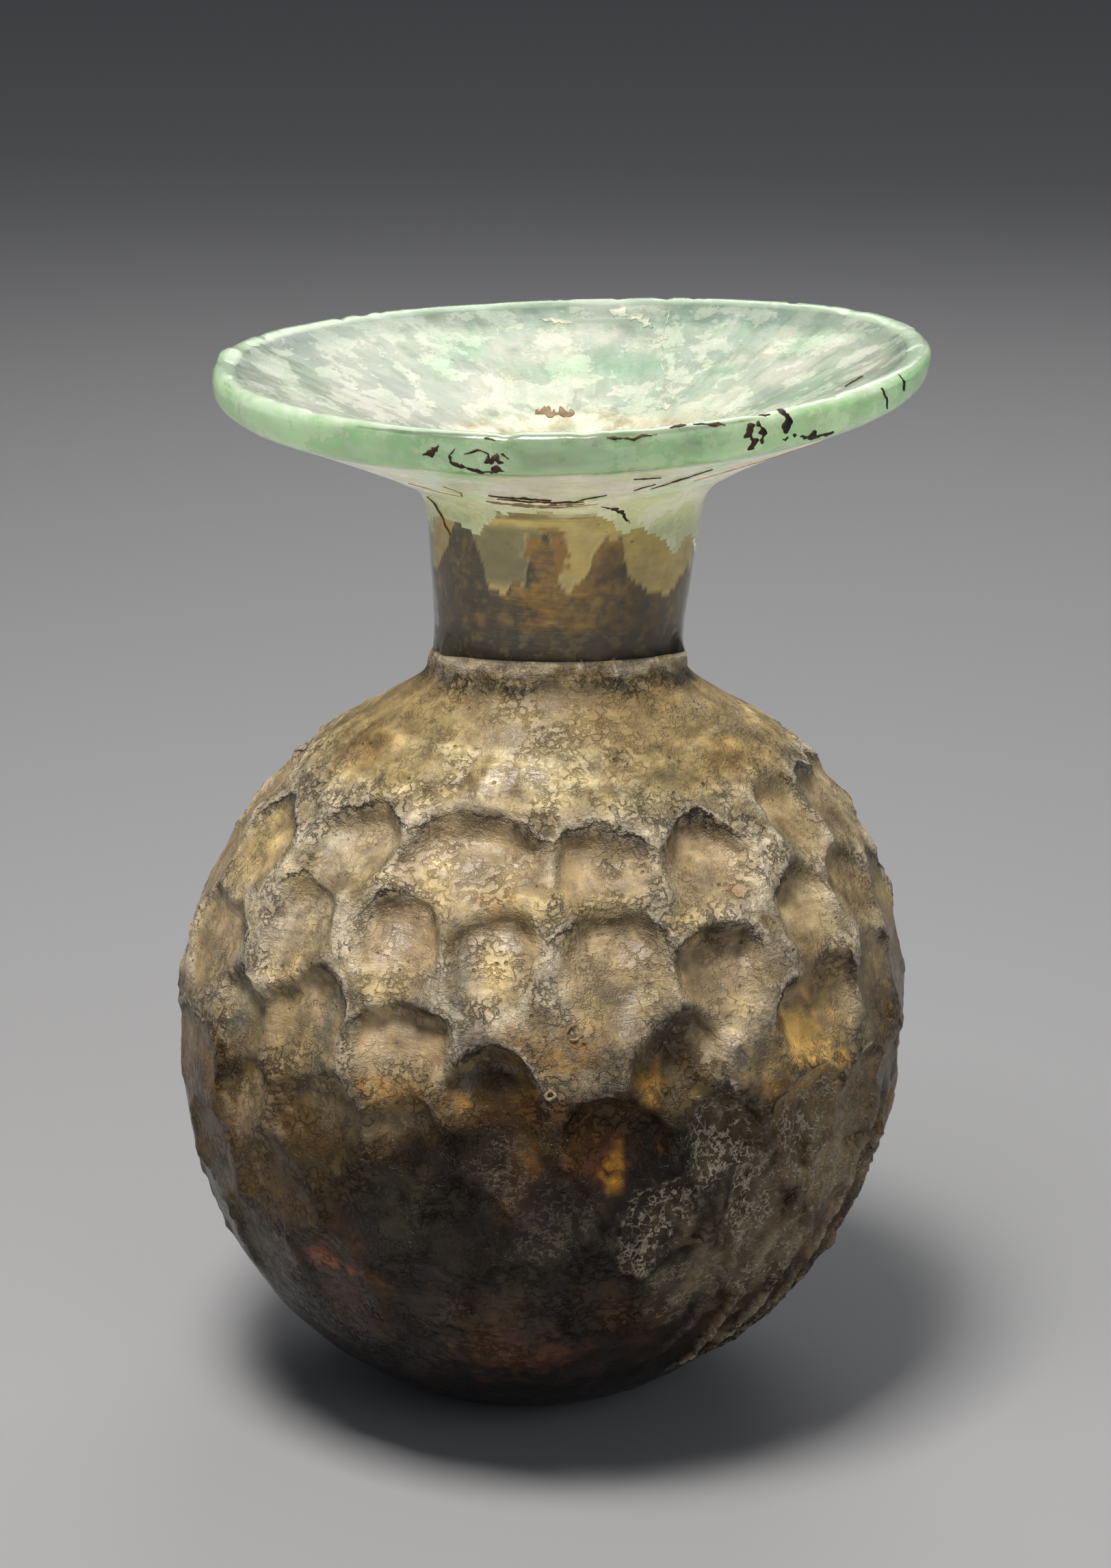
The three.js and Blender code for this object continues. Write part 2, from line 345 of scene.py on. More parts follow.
PATCHES: tuple[Patch, ...] = (
    # Shoulder: pale middle, browner right, grey stain beside the root.
    Patch(-30, 96, 26, 5, P.WHEAT, 0.55), Patch(2, 95, 16, 4.5, P.WHEAT, 0.6),
    Patch(28, 98, 18, 6, P.UMBER, 0.35), Patch(34, 93, 12, 4, P.MOSS, 0.5),
    Patch(62, 94, 22, 5, P.OCHRE, 0.3), Patch(-52, 103, 7, 2, P.STEEL, 0.75),
    Patch(18, 103, 14, 2.5, P.UMBER, 0.35), Patch(-62, 95, 14, 5, P.OCHRE, 0.3),
    Patch(78, 88, 6, 3.5, P.BISTRE, 0.55), Patch(70, 99, 16, 3, P.WALNUT, 0.35),
    # Upper rows: warm stains on the hollows' floors and lower lips.
    Patch(-71, 79, 5, 3.2, P.STRAW, 0.8), Patch(-22, 82.5, 4.5, 2.6, P.STRAW, 0.7),
    Patch(0, 78.8, 8, 3.4, P.STRAW, 0.75), Patch(-8.5, 73.2, 2.7, 3.4, P.STRAW, 0.95, 0.3),
    Patch(-10, 79.8, 5, 1.2, P.OCHRE, 0.45), Patch(12, 78.4, 9, 1.6, P.MOSS, 0.75),
    Patch(24, 76.4, 4, 2.2, P.STRAW, 0.7), Patch(-35, 80, 7, 2, P.STRAW, 0.5),
    Patch(-28, 69.6, 9, 1.4, P.STRAW, 0.6), Patch(-14, 71.5, 1.8, 4.5, P.SLATE, 0.6),
    Patch(-50, 79, 3, 2, P.STRAW, 0.5), Patch(36, 79.6, 2.2, 1.4, P.RUST, 0.5),
    Patch(30, 74, 4, 2, P.UMBER, 0.4), Patch(48, 71, 7, 2.2, P.UMBER, 0.45),
    Patch(50, 67, 9, 4, P.OCHRE, 0.4), Patch(52.5, 57.6, 2.8, 3.0, P.AMBER, 0.95, 0.8),
    Patch(43, 60.5, 10, 5.5, P.BRASS, 1.0),
    Patch(39.5, 57.5, 6, 3.2, P.OCHRE, 0.9), Patch(-12, 66.5, 3, 4, P.PLUM, 0.5),
    Patch(-45, 68, 2.5, 6, P.STRAW, 0.5), Patch(-56, 64, 3, 6, P.SLATE, 0.6),
    Patch(-36, 63, 2.2, 7, P.SLATE, 0.45), Patch(14, 65.0, 11, 3.5, P.WALNUT, 0.6),
    Patch(2, 64.5, 10, 3.6, P.OCHRE, 0.85), Patch(-9, 61.5, 6, 2.6, P.BISTRE, 0.75),
    Patch(-31, 66, 3, 5, P.UMBER, 0.5), Patch(18, 71, 2.5, 6, P.WALNUT, 0.55),
    Patch(-17, 76, 2.5, 3.5, P.WALNUT, 0.55), Patch(39, 70, 3, 6, P.UMBER, 0.55),
    Patch(12, 69.5, 8, 1.6, P.OLIVE, 0.5),
    Patch(20, 66.5, 7, 1.8, P.SOOT, 0.6), Patch(37, 63, 4, 5, P.OLIVE, 0.7),
    # Along the dark border.
    Patch(-24, 58.8, 7, 1.8, P.OCHRE, 0.9), Patch(-14.5, 58.8, 4, 1.5, P.OCHRE, 0.7),
    Patch(16, 60.1, 2.2, 2.4, P.OCHRE, 0.85, 0.8), Patch(8, 53, 7, 4, P.RUST, 0.22, 1.0),
    Patch(11.5, 51.4, 2.4, 2.2, P.AMBER, 0.6, 1.4), Patch(3, 56, 9, 4, P.OCHRE, 0.28),
    Patch(5, 57.4, 7, 3.2, P.WALNUT, 0.8), Patch(11, 58, 4, 3.4, P.WALNUT, 0.9),
    Patch(-2, 57, 4, 2.5, P.WALNUT, 0.8), Patch(-20, 55, 5, 2, P.BISTRE, 0.5),
    Patch(-47, 52, 6.5, 5.5, P.TAUPE, 0.7, 0.9), Patch(-73, 51.5, 3, 2, P.OCHRE, 0.7),
    Patch(-41, 48, 6, 4, P.OLIVE, 0.6), Patch(-57, 56, 4, 2, P.BISTRE, 0.6),
    # Low on the body.
    Patch(-37, 36.5, 5, 1.5, P.RUST, 0.85, 0.9), Patch(-56, 48, 3, 1.2, P.OCHRE, 0.4),
    Patch(-25, 47, 16, 4, P.OLIVE, 0.35), Patch(46, 40, 26, 11, P.TAUPE, 0.36),
    Patch(58, 49, 15, 9, P.TAUPE, 0.5), Patch(10, 24, 10, 6, P.PLUM, 0.5),
    Patch(-8, 30, 14, 6, P.UMBER, 0.25), Patch(-70, 40, 14, 14, P.OLIVE, 0.5),
    Patch(46, 22, 8, 1.6, P.TAUPE, 0.5, 1.2), Patch(-4, 26, 12, 5, P.RUST, 0.18, 1.2),
    # Far side, plainer.
    Patch(120, 97, 24, 5, P.WHEAT, 0.5), Patch(170, 99, 22, 4, P.UMBER, 0.35),
    Patch(215, 96, 20, 5, P.OCHRE, 0.35), Patch(255, 98, 16, 4, P.WHEAT, 0.4),
    Patch(135, 73, 6, 3, P.STRAW, 0.6), Patch(183, 80, 5, 3, P.STRAW, 0.6),
    Patch(228, 70, 6, 3, P.OCHRE, 0.6), Patch(200, 60, 8, 2.5, P.OCHRE, 0.7),
    Patch(150, 58, 7, 2, P.OCHRE, 0.7), Patch(245, 58, 6, 2, P.AMBER, 0.5),
    Patch(175, 45, 20, 8, P.OLIVE, 0.6), Patch(230, 38, 20, 8, P.OLIVE, 0.5),
    Patch(110, 44, 16, 8, P.OLIVE, 0.6),
)

# Upper border of the dark burial stain, which also stands as the painted shade of the lower body:
# climb in millimetres against azimuth in degrees.
DARK_BORDER: tuple[tuple[float, float], ...] = (
    (-90, 56), (-75, 57.5), (-62, 58.0), (-52, 58.5), (-44, 57.5), (-34, 57.0), (-24, 57.0),
    (-14, 59.0), (-5, 61.5), (4, 60.5), (12, 61.0), (20, 61.5), (32, 60.0), (40, 57.0),
    (50, 55.0), (62, 56.5), (75, 61.0), (90, 62.0), (120, 57.0), (150, 60.5), (180, 56.0),
    (210, 60.0), (240, 57.0), (270, 56.0),
)


@dataclass(frozen=True)
class Station:
    """One point of the section: radius, height, the zone it starts, and its way along."""

    radius: float
    height: float
    zone: Zone
    along: float


@dataclass(frozen=True)
class VesselForm:
    """The bottle's turned shape and the hand's departures from it, in millimetres.

    Lines are points of radius and height. Lean and mouth tilt are shares of a millimetre for
    each millimetre up or sideways. The torn stretch is where the film's edge crosses the neck,
    in millimetres along it, and its rings stand closer.
    """

    body_radius: float = 40.5
    lower_depth: float = 45.7
    upper_rise: float = 38.8
    foot_radius: float = 12.0
    shoulder_radius: float = 20.0
    neck_line: tuple[tuple[float, float], ...] = (
        (20.0, 77.39), (18.5, 78.5), (17.1, 79.4), (15.9, 80.2), (14.95, 81.0), (14.3, 81.8),
        (13.9, 82.6), (13.62, 83.4), (13.5, 84.1))
    waist_line: tuple[tuple[float, float], ...] = (
        (13.5, 84.1), (13.45, 85.4), (13.5, 87.5), (13.9, 91.0), (14.3, 95.3), (14.7, 99.6),
        (15.1, 101.0), (15.8, 102.1), (17.4, 103.4), (20.6, 105.0))
    flange_middle: tuple[float, float] = (28.0, 108.3)
    lip_top: float = 116.0
    lip_radius: float = 37.8
    lip_line: tuple[tuple[float, float], ...] = (
        (36.3, 111.75), (36.9, 112.1), (37.45, 112.75), (37.7, 113.7), (37.8, 114.8),
        (37.65, 115.5), (37.2, 115.92), (36.5, 116.0), (35.8, 115.75), (35.2, 115.4))
    dish_slope: float = math.tan(math.radians(23.0))
    dish_sags: tuple[tuple[float, float], ...] = ((33.0, 0.05), (25.0, 0.2), (19.0, 0.1))
    throat_line: tuple[tuple[float, float], ...] = (
        (14.6, 106.45), (12.8, 105.55), (11.4, 104.6), (10.3, 103.5), (9.6, 102.4))
    bore_line: tuple[tuple[float, float], ...] = (
        (9.6, 102.4), (9.35, 100.4), (9.2, 98.4), (8.8, 92.0), (8.4, 86.4), (8.6, 84.0),
        (9.2, 82.4))
    wall: float = 3.0
    roof_thickness: float = 3.0
    floor_thickness: float = 3.2
    cavity_mouth_radius: float = 12.0
    lean: float = 0.044
    mouth_tilt: float = 0.031
    mouth_sag: float = 0.67
    root_slant: float = 2.0
    out_of_round: float = 0.25
    torn_stretch: tuple[float, float] = (9.6, 18.6)
    torn_gap: float = 0.47
    flare_rings: int = 7

    @property
    def equator(self) -> float:
        """Height of the widest ring."""
        return self.lower_depth * math.sqrt(1 - (self.foot_radius / self.body_radius) ** 2)

    def dish_point(self, radius: float, sag: float) -> tuple[float, float]:
        """Point of the dish at a radius, a sag below its straight slope."""
        drop = (self.lip_line[-1][0] - radius) * self.dish_slope
        return radius, self.lip_top - 0.8 - drop - sag

    def ellipse(self, radius: float, axis: float, start: float, end: float) -> Array:
        """Part of an ellipse round the widest ring's middle, as many close points."""
        turn = np.linspace(start, end, 400)
        return np.column_stack([radius * np.cos(turn), self.equator + axis * np.sin(turn)])

    def runs(self) -> list[tuple[Zone, Array, float]]:
        """Draws the section's stretches.

        Returns:
            Each zone in order, with its line and the distance between its rings.
        """
        foot = math.acos(self.foot_radius / self.body_radius)
        shoulder = math.acos(self.shoulder_radius / self.body_radius)
        wall = np.vstack([
            self.ellipse(self.body_radius, self.lower_depth, -foot, 0.0),
            self.ellipse(self.body_radius, self.upper_rise, 0.0, shoulder)[1:]])
        inner = self.body_radius - self.wall
        mouth = math.acos(self.cavity_mouth_radius / inner)
        cavity = np.vstack([
            [self.bore_line[-1]],
            self.ellipse(inner, self.upper_rise - self.roof_thickness, mouth, 0.0),
            self.ellipse(inner, self.equator - self.floor_thickness, 0.0, -math.pi / 2)[1:]])
        sole = np.array([(0.0, 0.0), (5.0, 0.0), (self.foot_radius, 0.0)])
        flange = (self.waist_line[-1], self.flange_middle, self.lip_line[0])
        dish = (self.lip_line[-1], *(self.dish_point(*sag) for sag in self.dish_sags),
                self.throat_line[0])
        return [
            (Zone.FOOT, sole, 2.2), (Zone.WALL, wall, 0.86),
            (Zone.ROOT, rounded(self.neck_line), 0.5), (Zone.NECK, rounded(self.waist_line), 1.6),
            (Zone.UNDERSIDE, rounded(flange), 2.0), (Zone.LIP, rounded(self.lip_line), 0.6),
            (Zone.DISH, rounded(dish), 1.4), (Zone.THROAT, rounded(self.throat_line), 0.8),
            (Zone.BORE, rounded(self.bore_line), 0.62), (Zone.CAVITY, cavity, 10.0)]

    def ring_stops(self, zone: Zone, length: float, gap: float) -> Array:
        """Spaces out the rings of one zone.

        Args:
            zone: The zone.
            length: Its whole length.
            gap: About how far apart its rings are.

        Returns:
            Distances along the zone, without its end.
        """
        if zone is not Zone.NECK:
            return np.linspace(0.0, length, max(2, round(length / gap)) + 1)[:-1]
        low, high = self.torn_stretch
        return np.concatenate([
            np.arange(0.0, low, gap), np.arange(low, high, self.torn_gap),
            np.linspace(high, length, self.flare_rings + 1)[:-1]])

    def stations(self) -> list[Station]:
        """Lists the section's points.

        Returns:
            Every point from the foot's middle to the floor's.
        """
        made: list[Station] = []
        for zone, line, gap in self.runs():
            lengths = lengths_along(line)
            for along in self.ring_stops(zone, lengths[-1], gap):
                made.append(Station(
                    float(np.interp(along, lengths, line[:, 0])),
                    float(np.interp(along, lengths, line[:, 1])), zone, float(along)))
        made.append(Station(0.0, self.floor_thickness, Zone.CAVITY, 0.0))
        return made

    def shaped(self, radius: Array, height: Array, turn: Array) -> Array:
        """Leans, slants and tilts points of the level shape, as the maker's hand did.

        Args:
            radius: Distance from the upright axis.
            height: Height above the foot.
            turn: Angle in radians, 0 towards -Y.

        Returns:
            One row of X, Y and Z for each point.
        """
        x = radius * np.sin(turn)
        at_root = band(height, (70.0, 82.0), (82.0, 98.0))
        at_mouth = step_between(height, 95.0, 108.0)
        rise = self.root_slant * at_root * np.cos(turn) + at_mouth * (
            self.mouth_tilt * x - self.mouth_sag * (radius / self.lip_radius) * np.cos(2.0 * turn))
        return np.column_stack([x + self.lean * height, -radius * np.cos(turn), height + rise])


@dataclass(frozen=True)
class Places:
    """Points of the plain turned shape: degrees round it, millimetres along their own zone, and
    rows of X, Y and Z in millimetres."""

    azimuth: Array
    along: Array
    spots: Array

    @property
    def height(self) -> Array:
        """Heights above the foot."""
        return self.spots[:, 2]

    def pick(self, rows: Array) -> "Places":
        """The points of the given rows alone."""
        return Places(self.azimuth[rows], self.along[rows], self.spots[rows])

    def grain(self, size: float, octaves: int, seed: float,
              stretch: tuple[float, float, float] = (1.0, 1.0, 1.0)) -> Array:
        """Fractal noise at the points, finer along an axis that is stretched."""
        return grain(self.spots * np.array(stretch), size, octaves, seed)


@dataclass
class Coat:
    """Painted values and relief of some points; one number may hold for them all.

    Tint is a linear colour and proud how far a point stands out, in millimetres. Salt and grit
    are the strengths of pale salts and of crumbs, and gloss is the skin's shine. Rim is how far
    inside a hollow a point lies, below 0 outside, and lift how high in it. Deep is the share of
    the dark burial stain, which is also the painted shade of the lower body.
    """

    tint: Array
    proud: Array | float = 0.0
    salt: Array | float = 0.0
    grit: Array | float = 0.0
    gloss: Array | float = 0.0
    rim: Array | float = -0.35
    lift: Array | float = 0.0
    deep: Array | float = 0.0


class WallSurvey:
    """What the wall's colours, salts and relief are worked out from, for each point.

    Fine, mid, broad and tiny are grains of four sizes. Depth, inside, owner and lift say how the
    hollows press the point. Ridge is the raised net between the hollows, floor their floors,
    folds and crease the raised lines low on the right, and dark and brown the burial stain, also
    the painted shade of the lower body, and its browner border.
    """

    def __init__(self, at: Places, body: "Body") -> None:
        """Surveys points of the wall.

        Args:
            at: The points.
            body: The body whose hollows press them.
        """
        climb = at.along
        self.at = at
        self.fine = at.grain(2.6, 5, 3.0)
        self.mid = at.grain(6.0, 4, 4.0)
        self.broad = at.grain(16.0, 4, 5.0)
        self.tiny = at.grain(1.3, 3, 26.0)
        self.depth, self.inside, self.owner, self.lift = body.pressed(*body.warped(at))
        self.in_rows = band(climb, (27.0, 32.0), (86.0, 92.0))
        near_edge = np.clip(1.0 - np.abs(self.inside) / 0.45, 0.0, 1.0)
        self.ridge = self.in_rows * np.clip(near_edge + (self.inside < 0) * 0.7, 0.0, 1.0)
        self.upper = step_between(climb, 58.0, 64.0)
        self.below_shoulder = 1 - step_between(climb + 3.0 * self.mid, 86.0, 91.0)
        self.floor = step_between(self.inside + 0.3 * self.fine, 0.05, 0.4) * step_between(
            self.lift, -0.75, -0.2)
        # The dark burial stain, which also paints the shade of the lower body, and its browner
        # border.
        reach = (round_line(at.azimuth, DARK_BORDER) - climb + 3.6 * self.mid + 1.8 * self.fine
                 + 3.0 * self.broad)
        self.dark = step_between(reach, -3.0, 6.0)
        self.brown = step_between(reach, -7.0, 1.0)
        course = (at.azimuth - 46.0 - 0.35 * (climb - 22.0)) / 9.0 + 0.3 * self.mid
        self.folds = np.abs((course % 1.0) - 0.5) * 2.0
        self.low_right = band(at.azimuth, (26.0, 38.0), (84.0, 94.0)) * band(
            climb, (14.0, 20.0), (44.0, 52.0))
        self.crease = self.low_right * step_between(self.folds, 0.6, 1.0)


@dataclass
class Body:
    """The round body: its pressed, stained and crusted wall, its foot and its inside.

    Spread widens every hollow, warp pushes its outline about in degrees and in millimetres, and
    sag draws out its lower half. Steep top and steep foot shape its edges, top skew puts the
    deepest place high, and blend is how sharply neighbours part.
    """

    hollows: list[Hollow] = field(default_factory=lambda: FRONT_HOLLOWS + back_hollows())
    top_skew: float = 0.38
    steep_top: float = 2.0
    steep_foot: float = 0.95
    spread: float = 1.13
    warp: tuple[float, float] = (2.88, 1.76)
    sag: float = 1.35
    blend: float = 7.0
    floor_stain: float = 0.6
    scar_depth: float = 0.35

    def of_owner(self, survey: WallSurvey, values: list) -> Array:
        """Each point's value out of one for every hollow."""
        return np.array(values)[survey.owner]

    def warped(self, at: Places) -> tuple[Array, Array]:
        """Pushes places about, in azimuth and climb, so that no outline is a clean oval."""
        return (at.azimuth + self.warp[0] * at.grain(11.0, 3, 1.0),
                at.along + self.warp[1] * at.grain(10.0, 3, 2.0))

    def pressed(self, azimuth: Array, climb: Array) -> tuple[Array, Array, Array, Array]:
        """Works out how the hollows press each place.

        Args:
            azimuth: Degrees.
            climb: Millimetres up the wall.

        Returns:
            The depth, how near the place is to a hollow's edge (0 at the edge, 1 in the middle,
            below 0 outside), the nearest hollow's index, and its upward share.
        """
        best = np.full(azimuth.shape, -9.0)
        depth = np.zeros(azimuth.shape)
        owner = np.zeros(azimuth.shape, int)
        lift = np.zeros(azimuth.shape)
        total = np.full(azimuth.shape, 1e-6)
        for index, hollow in enumerate(self.hollows):
            across = away(azimuth, hollow.azimuth) / (hollow.half_width * self.spread)
            up = (climb - hollow.climb) / (hollow.half_height * self.spread)
            up = np.where(up < 0.0, up / self.sag, up)
            inside = 1.0 - across ** 2 - up ** 2
            power = self.steep_foot + (self.steep_top - self.steep_foot) * step_between(
                up, -0.6, 0.6)
            bowl = hollow.depth * (1.0 + self.top_skew * up) * (
                1.0 - np.clip(1.0 - inside, 0.0, 1.0) ** power)
            depth = np.maximum(depth, bowl)
            nearer = inside > best
            best = np.where(nearer, inside, best)
            owner = np.where(nearer, index, owner)
            pull = np.exp(self.blend * np.clip(inside, -2.0, 1.0))
            lift += pull * np.clip(up, -1.5, 1.5)
            total += pull
        return depth, best, owner, lift / total

    def wall(self, at: Places) -> Coat:
        """Paints the outer wall.

        Args:
            at: The wall's points.

        Returns:
            Their coat, which fades out towards the foot's edge.
        """
        survey = WallSurvey(at, self)
        fine, mid, tiny = survey.fine, survey.mid, survey.tiny
        salt = self.salts(survey)
        tint = glazed(
            self.patched(self.ground(survey), survey),
            (P.SAND, 0.5 * survey.crease * step_between(fine + tiny, -0.3, 0.4)))
        tint = mix(tint * (1.0 + 0.25 * fine + 0.25 * tiny)[:, None], P.TAUPE.linear,
                   0.14 * salt * (at.along < 60.0) * step_between(tiny + fine, -0.2, 0.4))
        on_floor = survey.floor * survey.upper
        return Coat(
            tint,
            proud=self.relief(survey, salt) * step_between(at.along, 0.3, 6.0),
            salt=salt,
            grit=np.clip(0.28 + 0.20 * survey.below_shoulder + 0.9 * survey.ridge + 0.6 * salt
                         + 0.30 * mid - 0.26 * on_floor, 0.10, 1.2),
            gloss=np.clip(0.45 + 0.4 * survey.broad - 0.15 * survey.ridge - 0.5 * salt
                          - 0.05 * on_floor + 0.35 * survey.dark, 0.0, 1.0),
            rim=np.clip(survey.inside, -1.0, 1.0),
            lift=(np.clip(survey.lift, -1.5, 1.5) + 0.6) * survey.in_rows * step_between(
                at.along, 38.0, 60.0) - 0.6,
            deep=survey.dark)

    def ground(self, survey: WallSurvey) -> Array:
        """Lays the ground colours, from honey on the shoulder to the dark burial stain, which is
        also the painted shade of the lower body, with shadows painted under the hollows' upper
        edges.

        Args:
            survey: The wall's points.

        Returns:
            Their linear colours.
        """
        fine, mid, broad = survey.fine, survey.mid, survey.broad
        climb, inside, lift = survey.at.along, survey.inside, survey.lift
        floors = self.of_owner(survey, [(h.floor or P.BISTRE).linear for h in self.hollows])
        stained = self.floor_stain * survey.floor * self.of_owner(
            survey, [h.floor is not None for h in self.hollows])
        # Painted shadow: a soft band just inside each hollow's upper edge, and a darker line along
        # that edge.
        under_edge_shadow = band(inside, (-0.05, 0.08), (0.12, 0.46)) * step_between(lift, 0.15, 0.7)
        brow_shadow = band(inside + 0.08 * fine, (-0.04, 0.04), (0.08, 0.26)) * step_between(
            lift + 0.2 * mid, 0.3, 0.75)
        on_rows = survey.upper * survey.below_shoulder
        sides = np.abs(away(survey.at.azimuth, 2.0))
        # Dark deposit of the lower body, its colours made darker still as the painted shade that
        # falls there.
        buried_and_shaded = glazed(
            P.BISTRE,
            (P.SOOT, step_between(mid + fine, -0.3, 0.5)),
            (P.WALNUT.tuned(1.1, 1.0, 0.7), 0.75 * step_between(broad + 0.4 * mid, -0.1, 0.4)),
            (P.OLIVE, 0.4 * step_between(-broad + 0.4 * fine, 0.1, 0.6)),
            (P.PLUM, 0.5 * step_between(broad - mid, 0.1, 0.6)),
            # Painted shade: darker towards the foot.
            (P.SOOT.tuned(0.4), 0.95 * step_between(34.0 - climb, 0.0, 20.0)),
            (P.UMBER.tuned(1.35, 1.25, 0.95), 0.72 * step_between(
                sides + 10.0 * mid, 22.0, 56.0) * step_between(climb, 28.0, 52.0)),
            (floors, stained))
        return glazed(
            P.HONEY,
            (P.WHEAT, 0.8 * step_between(mid + 0.5 * fine, 0.0, 0.6)),
            (P.UMBER, 0.5 * step_between(broad - 0.4 * fine, 0.15, 0.6)),
            (P.UMBER, 0.3 * step_between(climb + 2.0 * mid, 97.0, 104.0)),
            (P.SAND, 0.7 * survey.below_shoulder),
            (floors, stained),
            (P.MOSS, 0.6 * step_between(68.0 - climb + 4.0 * mid, 0.0, 9.0)),
            (P.UMBER, 0.35 * step_between(-mid - 0.4 * fine, 0.1, 0.5)),
            (P.TAUPE.tuned(1.18), 0.34 * survey.floor * survey.upper),
            (P.CHALK, 0.92 * survey.ridge * survey.upper * step_between(
                fine + 0.4 * mid, -0.6, 0.2)),
            # Painted shadows under the hollows' upper edges, on the rows.
            (P.UMBER, 0.8 * on_rows * under_edge_shadow),
            (P.BISTRE, 0.95 * on_rows * brow_shadow),
            (P.UMBER, 0.6 * survey.brown),
            (buried_and_shaded, survey.dark))

    def patched(self, tint: Array, survey: WallSurvey) -> Array:
        """Lays every stain of PATCHES over the ground colours.

        Args:
            tint: The ground colours, which are changed.
            survey: The wall's points.

        Returns:
            The same colours, stained.
        """
        rough = 0.5 * survey.mid + 0.5 * survey.fine + 0.5 * survey.tiny
        for patch in PATCHES:
            across = away(survey.at.azimuth, patch.azimuth) / patch.half_width
            up = (survey.at.along - patch.climb) / patch.half_height
            reach = across ** 2 + up ** 2
            near = reach < 5.0
            share = step_between(
                1.0 - np.sqrt(reach[near]) + patch.ragged * rough[near], -0.1, 0.45)
            tint[near] = mix(tint[near], patch.pigment.linear, share * patch.strength)
        return tint

    def salts(self, survey: WallSurvey) -> Array:
        """Finds where pale salts lie: in some hollows, on the net and low on the right.

        Args:
            survey: The wall's points.

        Returns:
            The salts' strength at each.
        """
        fine, mid = survey.fine, survey.mid
        in_hollows = self.of_owner(survey, [h.salt for h in self.hollows]) * step_between(
            survey.inside + 0.9 * fine + 0.5 * mid, -0.1, 0.6)
        right = band(survey.at.azimuth, (22.0, 40.0), (88.0, 100.0)) * band(
            survey.at.along, (30.0, 38.0), (57.0, 60.0))
        return np.maximum.reduce([
            in_hollows, 0.42 * right * step_between(mid + fine, 0.2, 0.6),
            0.25 * survey.ridge * survey.upper, 0.6 * survey.crease])

    def relief(self, survey: WallSurvey, salt: Array) -> Array:
        """Works out the wall's relief: hollows, net, flaking sheets, crumbs and folds.

        Args:
            survey: The wall's points.
            salt: The salts' strength at each.

        Returns:
            How far each point stands proud of the turned shape.
        """
        fine, mid, tiny, ridge = survey.fine, survey.mid, survey.tiny, survey.ridge
        x, y, z = survey.at.spots.T
        slanted = np.column_stack([x + 0.8 * z, y, 2.2 * (z - 0.5 * x)])
        sheets = layered(grain(slanted, 7.0, 4, 7.0) * 3.2)
        crumbs = np.abs(survey.at.grain(1.8, 3, 6.0))
        on_shoulder = step_between(survey.at.along, 84.0, 90.0)
        return (-survey.depth
                + ridge * (0.05 + 0.30 * fine + 0.10 * mid + 0.12 * tiny)
                + 0.12 * mid + 0.07 * fine + 0.03 * tiny
                + 0.09 * sheets * np.clip(ridge + on_shoulder + 0.5 * survey.dark, 0.0, 1.0)
                + (0.40 * crumbs - 0.10) * np.clip(salt + 0.3 * ridge, 0.0, 1.0)
                + survey.low_right * (0.75 * step_between(survey.folds, 0.5, 1.0) + 0.15 * fine))

    def foot(self, at: Places) -> Coat:
        """Paints the flat foot: dark worn crust, its middle sunk where a pontil broke off.

        Args:
            at: The foot's points.

        Returns:
            Their coat.
        """
        mid = at.grain(4.0, 4, 24.0)
        reach = np.hypot(at.spots[:, 0], at.spots[:, 1])
        scar = (self.scar_depth * (1 - step_between(reach, 5.0, 7.0))
                + 0.05 * np.abs(mid) * (reach < 11.0))
        return Coat(glazed(P.OLIVE, (P.BISTRE, step_between(mid, -0.2, 0.4))), proud=-scar)

    def cavity(self, at: Places) -> Coat:
        """Paints the inside of the body with a dusty brown soil film."""
        return Coat(glazed(P.UMBER, (P.BISTRE, step_between(at.grain(12.0, 3, 23.0), -0.3, 0.4)),
                           (P.PEAT, step_between(at.height, 70.0, 78.0))))


